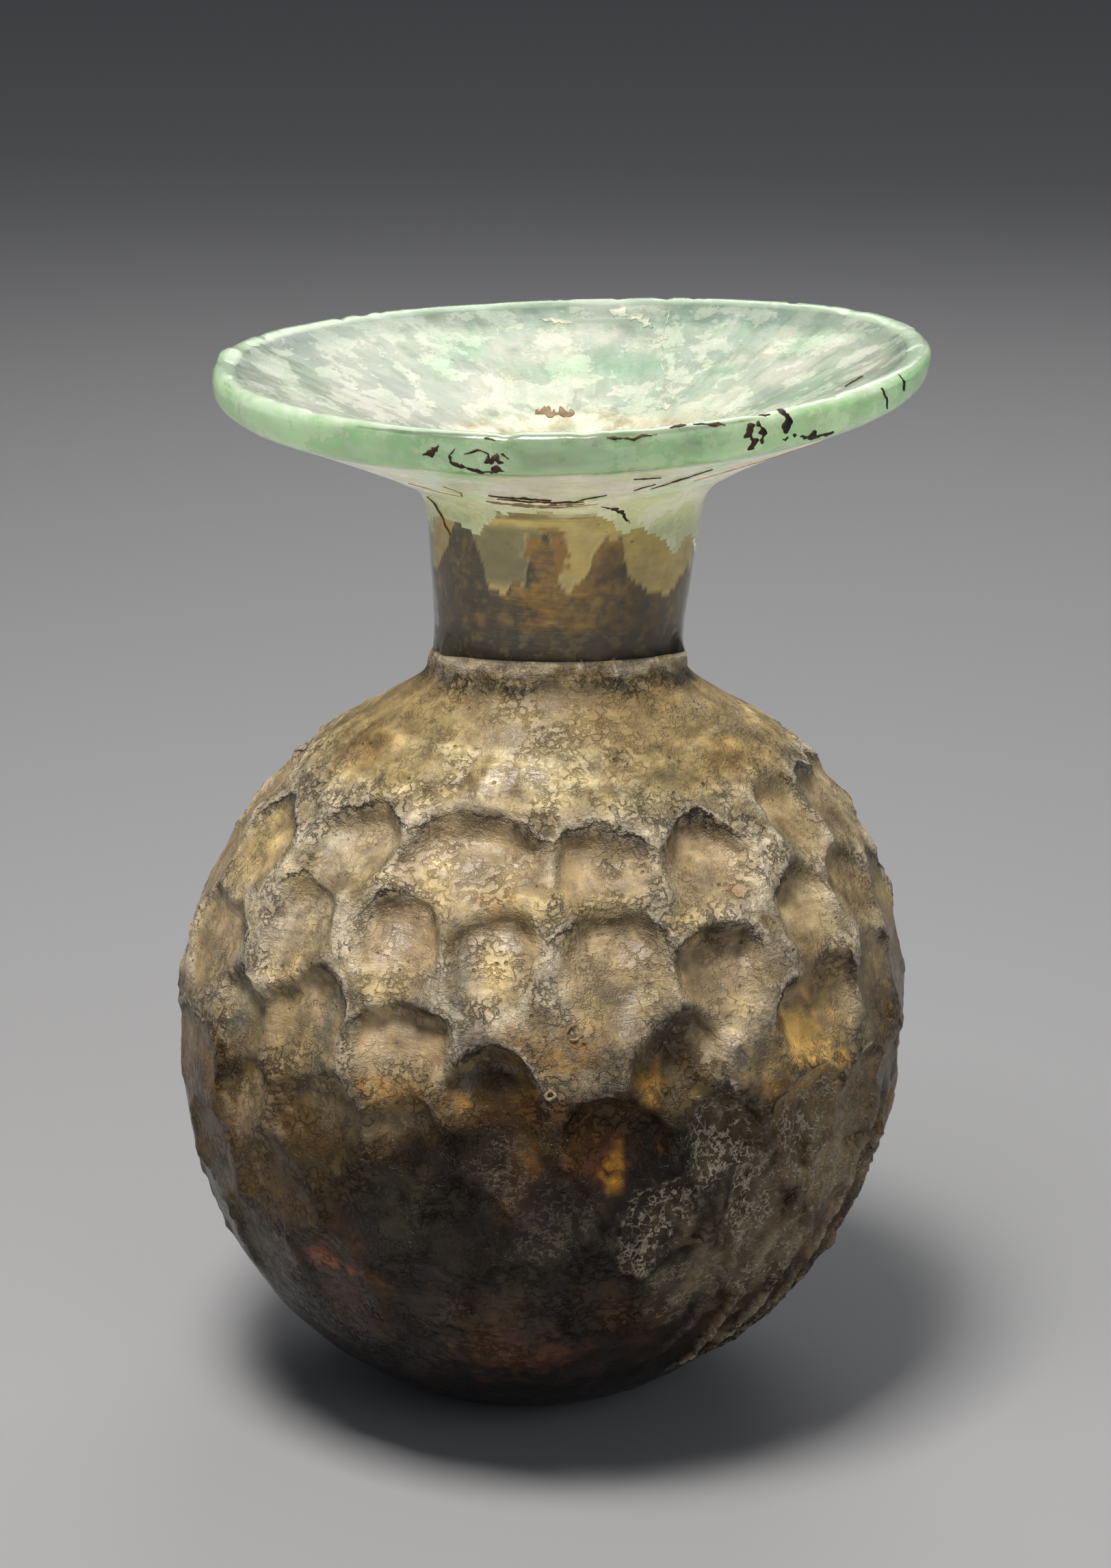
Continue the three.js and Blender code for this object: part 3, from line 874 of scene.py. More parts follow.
@dataclass(frozen=True)
class Neck:
    """The neck: its root with a ridge painted pale as a highlight over a groove painted dark as
    shade, its clear outside, and the crusted bore that shows through it.

    Film foot and crust top are lines round the neck, as azimuth and height. Each pinch is an
    azimuth, a half width in degrees and a strength in millimetres.
    """

    film_foot: tuple[tuple[float, float], ...] = (
        (-150, 99.5), (-90, 99.0), (-62, 99.6), (-48, 100.0), (-38, 99.2), (-31, 100.6),
        (-25, 102.6), (-8, 103.2), (10, 102.8), (17, 101.4), (25, 99.4), (32, 100.2),
        (44, 98.2), (54, 96.4), (66, 97.6), (80, 95.8), (120, 98.0), (180, 100.5))
    film_tint: tuple[float, float, float] = (0.74, 0.80, 0.56)
    crust_top: tuple[tuple[float, float], ...] = (
        (-150, 94), (-110, 93), (-82, 97), (-74, 101), (-62, 100.5), (-54, 97), (-46, 92.8),
        (-36, 92.3), (-30, 94.5), (-22, 93.0), (-18, 97.0), (-13, 99.6), (-9, 100.0),
        (-6, 98.4), (-2, 93.6), (4, 92.6), (10, 93.2), (18, 96.5), (23, 99.3), (34, 98.8),
        (39, 94.5), (50, 92.8), (62, 91.8), (75, 90.5), (110, 94), (150, 92))
    crust_warmth: tuple[float, float, float] = (1.06, 1.0, 0.45)
    pinches: tuple[tuple[float, float, float], ...] = ((-57.0, 8.0, 1.2), (70.0, 9.0, 0.9))
    pinch_height: float = 83.6

    def film_reach(self, at: Places) -> Array:
        """Above 0 where the mouth's milky film runs down over the neck: its edge is torn."""
        return at.height - round_line(at.azimuth, self.film_foot) + 0.8 * at.grain(3.4, 3, 34.0)

    def crust_reach(self, at: Places) -> Array:
        """Above 0 where the bore's wall carries crust: its top is jagged, with a few peaks."""
        return round_line(at.azimuth, self.crust_top) - at.height + at.grain(2.4, 4, 22.0)

    def pinch(self, at: Places) -> Array:
        """Two folds beside the neck's foot, where the hot glass was squeezed together."""
        folds = sum(strength * swelling(at.azimuth - middle, width)
                    for middle, width, strength in self.pinches)
        return folds * swelling(at.height - self.pinch_height, 1.7)

    def root(self, at: Places) -> Coat:
        """Paints the neck's root.

        Args:
            at: The root's points.

        Returns:
            Their coat.
        """
        fine = at.grain(2.2, 4, 8.0)
        mid = at.grain(5.0, 4, 9.0)
        line = at.height + 0.35 * mid + 0.45 * at.grain(11.0, 2, 35.0) + 0.12 * fine
        # Painted light: the ridge is made pale as the highlight on its top, and the groove below it
        # dark as shade.
        ridge = band(line, (82.4, 82.9), (83.8, 84.1))
        groove = band(line, (80.6, 81.4), (82.1, 82.6))
        pinch = self.pinch(at)
        tint = glazed(
            P.HONEY,
            (P.WHEAT, 0.8 * step_between(mid + 0.5 * fine, 0.0, 0.6)),
            # Painted shade: darker going up towards the groove.
            (P.UMBER, 0.3 + 0.35 * step_between(line, 78.8, 80.5)),
            (P.PEAT, np.clip(groove * (0.6 + 0.6 * mid), 0.0, 1.0)),
            (P.CHALK, np.clip(ridge * (0.5 + 1.2 * fine + 0.8 * mid), 0.0, 0.9)),
            (P.PEAT, 0.85 * step_between(line, 83.5, 83.9)))
        tint = np.clip(tint * (1.0 + 0.15 * fine[:, None]), 0.0, 1.0)
        return Coat(
            glazed(tint, (P.CHALK, 0.7 * np.clip(pinch, 0.0, 1.0))),
            proud=(0.08 * mid + 0.08 * fine + ridge * (0.14 + 0.12 * fine) - 0.10 * groove
                   + 0.9 * pinch),
            salt=0.3 * ridge, grit=0.25 + 0.6 * step_between(line, 80.0, 81.5), gloss=0.4)

    def outside(self, at: Places) -> Coat:
        """Paints the neck's outside: faintly straw-coloured glass with a slow wave.

        Args:
            at: The outside's points.

        Returns:
            Their coat.
        """
        fold = self.pinch(at)
        film = step_between(self.film_reach(at), -0.2, 0.2)
        tint = glazed(
            P.PEAT,
            (P.SAGE, step_between(at.along, 0.6, 2.2)),
            (P.ASH, 0.6 * np.clip(fold, 0.0, 1.0)),
            (np.array(self.film_tint), film))
        wave = 0.10 * at.grain(9.0, 2, 11.0) * step_between(at.along, 0.0, 3.0)
        return Coat(tint, proud=0.06 * film + 0.9 * fold + wave)

    def bore(self, at: Places) -> Coat:
        """Paints the bore: crusted low down, thinly stained above.

        Args:
            at: The bore's points.

        Returns:
            Their coat.
        """
        fine = at.grain(1.4, 4, 20.0)
        mid = at.grain(3.5, 4, 21.0)
        crusted = self.crust_reach(at) > 0
        azimuth = at.azimuth + 14.0 * mid + 6.0 * fine
        steel = band(azimuth, (-60, -52), (-24, -18)) * band(
            at.height, (92.0, 94.0), (99.5, 101.5))
        ochre = band(azimuth, (-21, -16), (-5, -1)) * (
            1 - step_between(at.height + mid, 100.0, 101.0))
        left = 1 - step_between(azimuth + 8 * mid, -26, -12)
        right = step_between(azimuth + 8 * mid, 34, 46)
        blotch = 0.6 * (1.0 - 0.75 * ochre)
        stain = glazed(
            P.OLIVINE,
            (P.WHEAT, 0.5 * step_between(mid, -0.2, 0.4)),
            (P.STEEL, 0.8 * steel),
            (P.GOLD, 0.95 * ochre),
            (P.GOLD.tuned(1.1, 1.0, 0.4), 0.95 * ochre))
        crust = glazed(
            P.UMBER,
            (P.GOLD, step_between(mid, -0.4, 0.3)),
            (P.OLIVE, 0.7 * left),
            (P.BISTRE, 0.75 * np.clip(left + right, 0.0, 1.0)),
            (P.GOLD, 0.8 * ochre),
            (P.UMBER, blotch * step_between(fine, 0.15, 0.5)),
            (P.BISTRE, blotch * step_between(-fine, 0.2, 0.5)),
            (P.PEAT, 0.9 * (1 - step_between(at.height + 0.8 * mid + 0.6 * fine, 86.2, 88.6))))
        tint = np.where(crusted[:, None], crust * np.array(self.crust_warmth), stain)
        return Coat(tint * (1.0 + 0.2 * fine[:, None]),
                    proud=np.where(crusted, -0.10 + 0.08 * fine, 0.0))


@dataclass(frozen=True)
class Mouth:
    """The wide mouth: the underside of its flange, its thick lip, its dish and its throat.

    The lip was wound on, and its end and the notch beside it are each an azimuth, a half width
    in degrees and a height in millimetres.
    """

    underside_film_and_glow: tuple[float, float, float] = (0.96, 0.98, 0.80)
    winding: tuple[tuple[float, float, float], ...] = ((263.0, 2.6, 0.35), (268.5, 2.0, -0.55))
    dish_dim: tuple[float, float, float] = (0.70, 0.70, 0.73)

    def underside(self, at: Places) -> Coat:
        """Paints the flange's underside with a paler film over green glass, both brightened as
        painted light that shines through the flange.
        """
        mid = at.grain(7.0, 4, 12.0)
        # Painted light: the green glass is brightened 1.6 times and the film made pale, standing in
        # for light shining through the flange.
        return Coat(glazed(P.LEAF.tuned(1.6), (np.array(self.underside_film_and_glow), step_between(
            mid, -0.7, 0.1))), proud=0.06 * mid)

    def lip(self, at: Places) -> Coat:
        """Paints the thick green lip, with cloudy streaks along it and small chips.

        Args:
            at: The lip's points.

        Returns:
            Their coat.
        """
        mid = at.grain(3.0, 4, 13.0, (0.45, 0.45, 1.6))
        fine = at.grain(1.4, 4, 33.0, (0.45, 0.45, 1.6))
        tint = glazed(
            P.LEAF.tuned(0.80, 0.98, 0.84),
            (P.AQUA, 0.6 * step_between(mid + 0.4 * fine, 0.0, 0.6)),
            (P.SMOKE, 0.4 * step_between(fine - 0.5 * mid, 0.3, 0.5)))
        front = swelling(away(at.azimuth, 0.0), 50.0)
        tint = mix(tint * (1.0 - 0.18 * front)[:, None], P.MILK.tuned(1.2),
                   0.8 * step_between(at.along + 0.4 * fine, 4.4, 5.2))
        chips = np.clip(at.grain(2.4, 3, 14.0) - 0.35, 0.0, 1.0)
        winding = sum(rise * swelling(away(at.azimuth, middle), width)
                      for middle, width, rise in self.winding)
        return Coat(tint, proud=(
            0.12 * at.grain(12.0, 2, 15.0) + 0.05 * mid
            + winding * step_between(at.along, 3.0, 4.6)
            - 0.5 * chips * step_between(at.along, 2.0, 4.0)))

    def dish(self, at: Places) -> Coat:
        """Paints the dish: flaking cream film with clearer aqua gaps.

        Args:
            at: The dish's points.

        Returns:
            Their coat.
        """
        fine = at.grain(2.0, 4, 16.0)
        mid = at.grain(6.0, 5, 17.0)
        broad = at.grain(15.0, 3, 18.0)
        clear = band(at.azimuth, (128, 138), (160.5, 162.0)) * step_between(
            mid + 0.4 * broad, -0.35, -0.2)
        tint = glazed(
            P.MILK,
            (P.AQUA, 0.7 * step_between(broad + 0.6 * mid, -0.1, 0.5)),
            (P.CREAM, 0.75 * step_between(-mid + 0.5 * fine, 0.02, 0.12)),
            (P.AQUA.tuned(0.92), 0.85 * clear),
            (P.SMOKE, 0.6 * step_between(fine * 0.8 + broad, 0.3, 0.4)),
            (P.SMOKE, 0.5 * step_between(-fine + 0.5 * mid, 0.35, 0.45)))
        edge = step_between(np.abs(away(at.azimuth, 176.0)), 35.0, 90.0)
        left = band(at.azimuth, (186.0, 250.0), (300.0, 350.0))
        film = step_between(mid + 0.4 * broad, 0.0, 0.25)
        sheets = layered(at.grain(6.0, 4, 25.0, (1.0, 1.0, 2.0)) * 3.0)
        return Coat(tint * np.array(self.dish_dim) * (1.0 - 0.12 * edge - 0.26 * left)[:, None],
                    proud=0.06 * (1 - film) + 0.04 * fine + 0.09 * sheets)

    def throat(self, at: Places) -> Coat:
        """Paints the throat with a cream film, stained brown towards the bore."""
        mid = at.grain(3.0, 4, 19.0)
        return Coat(glazed(P.CREAM, (P.TAUPE, step_between(mid, -0.2, 0.4))), proud=0.05 * mid)


ZONE_SLOTS: dict[Zone, Slot] = {
    Zone.FOOT: Slot.BURIAL_CRUST, Zone.WALL: Slot.BURIAL_CRUST, Zone.ROOT: Slot.BURIAL_CRUST,
    Zone.NECK: Slot.NECK_GLASS, Zone.UNDERSIDE: Slot.FLANGE_FILM, Zone.LIP: Slot.LIP_GLASS,
    Zone.DISH: Slot.DISH_FILM, Zone.THROAT: Slot.DISH_FILM, Zone.BORE: Slot.BORE_STAIN,
    Zone.CAVITY: Slot.SOIL_FILM,
}


@dataclass
class Vessel:
    """The whole bottle of one closed skin: turned by a spin, then pressed, crusted and painted."""

    form: VesselForm = field(default_factory=VesselForm)
    body: Body = field(default_factory=Body)
    neck: Neck = field(default_factory=Neck)
    mouth: Mouth = field(default_factory=Mouth)
    turns: int = 384
    weld: float = 1e-6
    batch: int = 8000
    least_radius: float = 0.05

    def painters(self) -> dict[Zone, Callable[[Places], Coat]]:
        """How each zone is painted."""
        return {
            Zone.FOOT: self.body.foot, Zone.WALL: self.body.wall, Zone.ROOT: self.neck.root,
            Zone.NECK: self.neck.outside, Zone.UNDERSIDE: self.mouth.underside,
            Zone.LIP: self.mouth.lip, Zone.DISH: self.mouth.dish,
            Zone.THROAT: self.mouth.throat, Zone.BORE: self.neck.bore,
            Zone.CAVITY: self.body.cavity}

    def build(self) -> bpy.types.Object:
        """Makes the vessel.

        Returns:
            Its object, with painted values and face slots but no materials yet.
        """
        stations = self.form.stations()
        LOG.info("section of %d stations", len(stations))
        vessel = self.spun(stations)
        self.carve(vessel, stations)
        return vessel

    def spun(self, stations: list[Station]) -> bpy.types.Object:
        """Draws the half section point by point and spins it round the upright axis.

        Args:
            stations: The section's points.

        Returns:
            The plain turned vessel, closed and smooth.
        """
        bpy.ops.object.select_all(action="DESELECT")
        bpy.ops.mesh.primitive_plane_add(size=0.01)
        vessel = bpy.context.object
        vessel.name = "glass_bottle"
        bpy.ops.object.mode_set(mode="EDIT")
        bpy.ops.mesh.merge(type="CENTER")
        first = stations[0]
        bpy.ops.transform.translate(value=(0.0, -first.radius * MM, first.height * MM))
        for before, after in zip(stations[:-1], stations[1:]):
            bpy.ops.mesh.extrude_region_move(TRANSFORM_OT_translate={"value": (
                0.0, -(after.radius - before.radius) * MM, (after.height - before.height) * MM)})
        bpy.ops.mesh.select_all(action="SELECT")
        bpy.ops.mesh.spin(steps=self.turns, angle=2.0 * math.pi, center=(0.0, 0.0, 0.0),
                          axis=(0.0, 0.0, 1.0))
        bpy.ops.mesh.select_all(action="SELECT")
        bpy.ops.mesh.remove_doubles(threshold=self.weld)
        bpy.ops.mesh.normals_make_consistent(inside=False)
        bpy.ops.object.mode_set(mode="OBJECT")
        bpy.ops.object.shade_smooth()
        return vessel

    def match(self, spots: Array, line: Array) -> Array:
        """Finds each vertex's station from its radius and height.

        Args:
            spots: The vertices' places in millimetres.
            line: The stations' radii and heights.

        Returns:
            The index of each vertex's station.
        """
        radius = np.hypot(spots[:, 0], spots[:, 1])
        owner = np.empty(len(spots), int)
        for start in range(0, len(spots), self.batch):
            part = slice(start, start + self.batch)
            gap = (radius[part, None] - line[:, 0]) ** 2 + (spots[part, 2, None] - line[:, 1]) ** 2
            owner[part] = gap.argmin(axis=1)
        return owner

    def coated(self, zone: Array, plain: Places) -> Coat:
        """Paints every point, zone by zone.

        Args:
            zone: Each point's zone, as its number.
            plain: The points.

        Returns:
            The coat of them all.
        """
        whole = Coat(np.zeros((len(zone), 3)), *np.zeros((7, len(zone))))
        for part, paint in self.painters().items():
            rows = zone == part.value
            coat = paint(plain.pick(rows))
            for value in fields(Coat):
                getattr(whole, value.name)[rows] = getattr(coat, value.name)
        return whole

    def carve(self, vessel: bpy.types.Object, stations: list[Station]) -> None:
        """Moves every vertex to its place, paints it and gives the faces their slots.

        Args:
            vessel: The plain turned vessel.
            stations: The section's points.
        """
        spots = read_points(vessel) / MM
        line = np.array([(s.radius, s.height) for s in stations])
        owner = self.match(spots, line)
        turn = np.arctan2(spots[:, 0], -spots[:, 1])
        heading = np.gradient(line, axis=0)
        heading /= np.linalg.norm(heading, axis=1)[:, None]
        zone = np.array([s.zone.value for s in stations])[owner]
        radius, height = line[owner].T
        plain = Places(
            (np.degrees(turn) + 90.0) % 360.0 - 90.0, np.array([s.along for s in stations])[owner],
            np.column_stack([radius * np.sin(turn), -radius * np.cos(turn), height]))
        coat = self.coated(zone, plain)
        swell = self.form.out_of_round * np.cos(2 * turn + 1) * step_between(radius, 15.0, 30.0)
        moved = (radius + np.where(zone == Zone.WALL.value, swell, 0.0)
                 + coat.proud * heading[owner, 1])
        moved = np.where(radius == 0.0, 0.0, np.maximum(moved, self.least_radius))
        height = height - coat.proud * heading[owner, 0]
        write_points(vessel, self.form.shaped(moved, height, turn) * MM)
        write_coat(vessel, coat)
        self.assign_slots(vessel, owner, zone, plain, coat.deep)

    def assign_slots(self, vessel: bpy.types.Object, owner: Array, zone: Array, plain: Places,
                     deep: Array) -> None:
        """Gives each face the slot of the finish at its lowest corner along the section.

        Args:
            vessel: The vessel.
            owner: Each vertex's station.
            zone: Each vertex's zone, as its number.
            plain: The vertices on the plain turned shape.
            deep: Their share of the dark burial stain, which is also the painted shade of the lower
                body.
        """
        mesh = vessel.data
        corners = read_numbers(mesh.loops, "vertex_index")
        starts = read_numbers(mesh.polygons, "loop_start")
        totals = read_numbers(mesh.polygons, "loop_total")
        lowest = corners[starts]
        for step in range(1, 4):
            other = corners[np.minimum(starts + step, len(corners) - 1)]
            earlier = (totals > step) & (owner[other] < owner[lowest])
            lowest = np.where(earlier, other, lowest)
        at = plain.pick(lowest)
        slots = np.array([ZONE_SLOTS[part].value for part in Zone])[zone[lowest]]
        for usual, other, where in (
                (Slot.BORE_STAIN, Slot.BORE_CRUST, self.neck.crust_reach(at) > 0),
                (Slot.BURIAL_CRUST, Slot.DEEP_CRUST, deep[lowest] > 0.5),
                (Slot.NECK_GLASS, Slot.FLANGE_FILM, self.neck.film_reach(at) > 0)):
            slots = np.where((slots == usual.value) & where, other.value, slots)
        mesh.polygons.foreach_set("material_index", slots.astype(np.int32))


def read_numbers(items: bpy.types.bpy_prop_collection, name: str) -> Array:
    """Reads one whole number from each item of a mesh."""
    numbers = np.empty(len(items), int)
    items.foreach_get(name, numbers)
    return numbers


def read_points(piece: bpy.types.Object) -> Array:
    """Reads a mesh's vertices as rows of X, Y and Z."""
    flat = np.empty(len(piece.data.vertices) * 3)
    piece.data.vertices.foreach_get("co", flat)
    return flat.reshape(-1, 3)


def write_points(piece: bpy.types.Object, points: Array) -> None:
    """Moves a mesh's vertices to the given rows of X, Y and Z."""
    piece.data.vertices.foreach_set("co", points.astype(np.float32).ravel())
    piece.data.update()


def write_coat(piece: bpy.types.Object, coat: Coat) -> None:
    """Stores the painted values on a mesh as attributes of its points.

    Args:
        piece: The mesh's object.
        coat: Values for every point.
    """
    tint = piece.data.attributes.new("tint", "FLOAT_COLOR", "POINT")
    full = np.column_stack([np.clip(coat.tint, 0.0, 1.0), np.ones(len(coat.tint))])
    tint.data.foreach_set("color", full.astype(np.float32).ravel())
    for name in ("salt", "grit", "gloss", "rim", "lift", "deep"):
        values = piece.data.attributes.new(name, "FLOAT", "POINT")
        values.data.foreach_set("value", getattr(coat, name).astype(np.float32))


class Nodes:
    """A material's or a group's node tree, with short ways to fill it.

    Wherever a method takes a value for a node, that is a number, a colour or another socket.
    """

    def __init__(self, tree: bpy.types.NodeTree) -> None:
        """Keeps the tree and empties it."""
        self.tree = tree
        tree.nodes.clear()

    def add(self, kind: str, **settings: object) -> bpy.types.Node:
        """Adds a node.

        Args:
            kind: Its type.
            settings: Properties to set on it.

        Returns:
            The node.
        """
        node = self.tree.nodes.new(kind)
        for name, value in settings.items():
            setattr(node, name, value)
        return node

    def put(self, value: object, socket: Socket) -> None:
        """Gives a node's input its value.

        Args:
            value: What goes in.
            socket: The input.
        """
        if isinstance(value, Socket):
            self.tree.links.new(value, socket)
        else:
            socket.default_value = value

    def feed(self, node: bpy.types.Node, *values: object, **named: object) -> bpy.types.Node:
        """Fills a node's inputs.

        Args:
            node: The node.
            values: Values of its first inputs, in order.
            named: Values of other inputs by name, with _ for a space.

        Returns:
            The same node.
        """
        for socket, value in zip(node.inputs, values):
            self.put(value, socket)
        for name, value in named.items():
            self.put(value, node.inputs[name.replace("_", " ")])
        return node

    def math(self, operation: str, first: object, second: object = 0.0,
             clamp: bool = False) -> Socket:
        """Result of one operation on two numbers."""
        node = self.add("ShaderNodeMath", operation=operation, use_clamp=clamp)
        return self.feed(node, first, second).outputs[0]

    def plus(self, first: object, second: object, clamp: bool = False) -> Socket:
        """Sum of two numbers."""
        return self.math("ADD", first, second, clamp)

    def minus(self, first: object, second: object) -> Socket:
        """Difference of two numbers."""
        return self.math("SUBTRACT", first, second)

    def times(self, first: object, second: object, clamp: bool = False) -> Socket:
        """Product of two numbers."""
        return self.math("MULTIPLY", first, second, clamp)

    def most(self, *values: object) -> Socket:
        """Largest of several numbers."""
        return functools.reduce(lambda a, b: self.math("MAXIMUM", a, b), values)

    def apart(self, first: object, second: float) -> Socket:
        """How far a number is from another, whichever is larger."""
        return self.math("ABSOLUTE", self.minus(first, second))

    def noise(self, where: Socket, scale: float, detail: float = 4.0,
              roughness: float = 0.55) -> Socket:
        """Value of a Noise Texture at a scale for each metre."""
        node = self.add("ShaderNodeTexNoise")
        return self.feed(node, Vector=where, Scale=scale, Detail=detail,
                         Roughness=roughness).outputs["Fac"]

    def stretched(self, where: Socket, turn: float, scale: tuple[float, float, float]) -> Socket:
        """Coordinate turned by degrees round Y and then scaled along each axis."""
        return self.feed(self.add("ShaderNodeMapping"), Vector=where, Scale=scale,
                         Rotation=(0.0, math.radians(turn), 0.0)).outputs[0]

    def remap(self, value: Socket, low: object, high: float, start: float = 0.0,
              end: float = 1.0) -> Socket:
        """Value stretched from one range to another, smoothly and clamped."""
        node = self.add("ShaderNodeMapRange", interpolation_type="SMOOTHSTEP")
        return self.feed(node, value, low, high, start, end).outputs[0]

    def blend(self, share: object, first: object, second: object, kind: str = "MIX") -> Socket:
        """Mixes two colours.

        Args:
            share: How much of the second there is.
            first: The first colour.
            second: The second colour.
            kind: How they mix.

        Returns:
            The mixed colour.
        """
        node = self.add("ShaderNodeMix", data_type="RGBA", blend_type=kind)
        colours = [socket for socket in node.inputs if socket.type == "RGBA"]
        for value, socket in zip((share, first, second), (node.inputs[0], *colours)):
            self.put(value, socket)
        return node.outputs[2]

    def shaded(self, colour: Socket, *channels: Socket) -> Socket:
        """Colour times a number for each of its three channels."""
        shade = self.feed(self.add("ShaderNodeCombineColor"), *channels).outputs[0]
        return self.blend(1.0, colour, shade, "MULTIPLY")

    def attribute(self, name: str, output: str = "Fac") -> Socket:
        """A painted value."""
        return self.add("ShaderNodeAttribute", attribute_name=name).outputs[output]


class FinishNodes(Nodes):
    """A material's tree with its object coordinates, place, and the outputs of the shared
    weathering, worn."""

    def __init__(self, tree: bpy.types.NodeTree, effect: bpy.types.ShaderNodeTree,
                 size: float) -> None:
        """Places the weathering.

        Args:
            tree: The material's tree.
            effect: The weathering's group.
            size: Its scale on this material.
        """
        super().__init__(tree)
        self.place = self.add("ShaderNodeTexCoord").outputs["Object"]
        group = self.add("ShaderNodeGroup")
        group.node_tree = effect
        self.worn = self.feed(group, self.place, size).outputs

    def tint(self, *channels: Socket) -> Socket:
        """The painted colour times a number for each of its three channels."""
        return self.shaded(self.attribute("tint", "Color"), *channels)

    def glazed(self, colour: Socket, *glazes: tuple[Socket, Pigment]) -> Socket:
        """Lays pigments over a colour, one after another.

        Args:
            colour: The colour underneath.
            glazes: Each glaze's share and its pigment.

        Returns:
            The mixed colour.
        """
        for share, pigment in glazes:
            colour = self.blend(share, colour, rgba(pigment))
        return colour

    def principled(self, colour: Socket, rough: Socket, height: Socket,
                   bump: tuple[float, float], **plain: object) -> Socket:
        """Adds the shader with its bump.

        Args:
            colour: The base colour.
            rough: The roughness.
            height: The bump's height.
            bump: Its strength, and its depth in metres.
            plain: Values for the shader's own sockets.

        Returns:
            The shader.
        """
        strength, depth = bump
        normal = self.feed(self.add("ShaderNodeBump"), Strength=strength, Distance=depth,
                           Height=height).outputs[0]
        return self.feed(self.add("ShaderNodeBsdfPrincipled"), Base_Color=colour,
                         Roughness=rough, Normal=normal, **plain).outputs[0]


def rgba(pigment: Pigment) -> tuple[float, float, float, float]:
    """A pigment as a linear colour for a socket."""
    red, green, blue = pigment.linear.tolist()
    return red, green, blue, 1.0


WORN_OUTPUTS = ("Speckle", "Pits", "Cloud", "Flakes", "Relief", "Wrinkle", "Streaks", "Flecks",
                "Stains")


def weathering_group() -> bpy.types.ShaderNodeTree:
    """Builds the shared effect of crumbs, pits, flake lines and streaks.

    Returns:
        A group with a coordinate and a size in, and masks and a height out.
    """
    group = bpy.data.node_groups.new("weathering", "ShaderNodeTree")
    face = group.interface
    face.new_socket(name="Where", in_out="INPUT", socket_type="NodeSocketVector")
    size = face.new_socket(name="Size", in_out="INPUT", socket_type="NodeSocketFloat")
    size.default_value = 1.0
    for name in WORN_OUTPUTS:
        face.new_socket(name=name, in_out="OUTPUT", socket_type="NodeSocketFloat")
    nodes = Nodes(group)
    entry = nodes.add("NodeGroupInput")
    scaled = nodes.add("ShaderNodeVectorMath", operation="SCALE")
    where = nodes.feed(scaled, Vector=entry.outputs["Where"],
                       Scale=entry.outputs["Size"]).outputs[0]
    cells = nodes.feed(nodes.add("ShaderNodeTexVoronoi", feature="F1"), Vector=where,
                       Scale=800.0, Randomness=1.0).outputs["Distance"]
    cloud = nodes.noise(where, 240.0, 8.0, 0.66)
    tilted = nodes.stretched(where, 20.0, (0.55, 0.55, 1.5))
    brushed = nodes.stretched(where, 28.0, (0.3, 0.3, 1.3))
    field_of_sheets = nodes.noise(tilted, 300.0, 6.0, 0.62)
    sheets = nodes.feed(nodes.add("ShaderNodeMapRange", interpolation_type="STEPPED"),
                        field_of_sheets, 0.25, 0.75, 0.0, 1.0, 9.0).outputs[0]
    worms = nodes.remap(nodes.apart(nodes.noise(where, 820.0, 4.0, 0.6), 0.5), 0.06, 0.0)
    masks = {
        "Speckle": nodes.remap(nodes.noise(where, 1000.0, 5.0, 0.7), 0.53, 0.60),
        "Pits": nodes.times(nodes.remap(cells, 0.22, 0.10),
                            nodes.remap(nodes.noise(where, 420.0, 2.0), 0.54, 0.64)),
        "Cloud": cloud,
        "Flakes": nodes.times(nodes.remap(nodes.apart(field_of_sheets, 0.5), 0.022, 0.0),
                              nodes.remap(nodes.noise(where, 180.0, 3.0), 0.45, 0.6)),
        "Relief": nodes.plus(
            nodes.plus(nodes.times(cloud, 0.5),
                       nodes.times(nodes.noise(where, 1500.0, 5.0, 0.7), 0.2)),
            nodes.times(sheets, 0.22)),
        "Wrinkle": nodes.times(worms, nodes.remap(
            nodes.noise(where, 260.0, 3.0, 0.6), 0.38, 0.58, 0.15, 1.0)),
        "Streaks": nodes.noise(brushed, 620.0, 5.0, 0.65),
        "Flecks": nodes.remap(nodes.noise(where, 330.0, 7.0, 0.66), 0.545, 0.59),
        "Stains": nodes.remap(nodes.noise(tilted, 410.0, 6.0, 0.68), 0.56, 0.62),
    }
    nodes.feed(nodes.add("NodeGroupOutput"), **masks)
    return group


@dataclass(frozen=True)
class SurfaceFinish:
    """What every finish begins and ends with; size scales the shared weathering on it."""

    name: str
    size: float = field(default=1.0, kw_only=True)

    def build(self, effect: bpy.types.ShaderNodeTree) -> bpy.types.Material:
        """Makes the material.

        Args:
            effect: The shared weathering.

        Returns:
            The material.
        """
        material = bpy.data.materials.new(self.name)
        material.use_nodes = True
        nodes = FinishNodes(material.node_tree, effect, self.size)
        nodes.feed(nodes.add("ShaderNodeOutputMaterial"), Surface=self.surface(nodes))
        return material

    def surface(self, nodes: FinishNodes) -> Socket:
        """Shades the surface; each kind of finish has its own way."""
        raise NotImplementedError


@dataclass(frozen=True)
class CrustMasks:
    """Sockets that both the colour and the relief of a crust are made from.

    Edge is how far inside a hollow a place is, lip where it nears the hollow's upper edge, and
    crack_and_shadow the broken dark line there: a crack, painted dark as the shadow under that
    edge. Salted is where pale salt shows.
    """

    grit: Socket
    salt: Socket
    salted: Socket
    edge: Socket
    lip: Socket
    crack_and_shadow: Socket


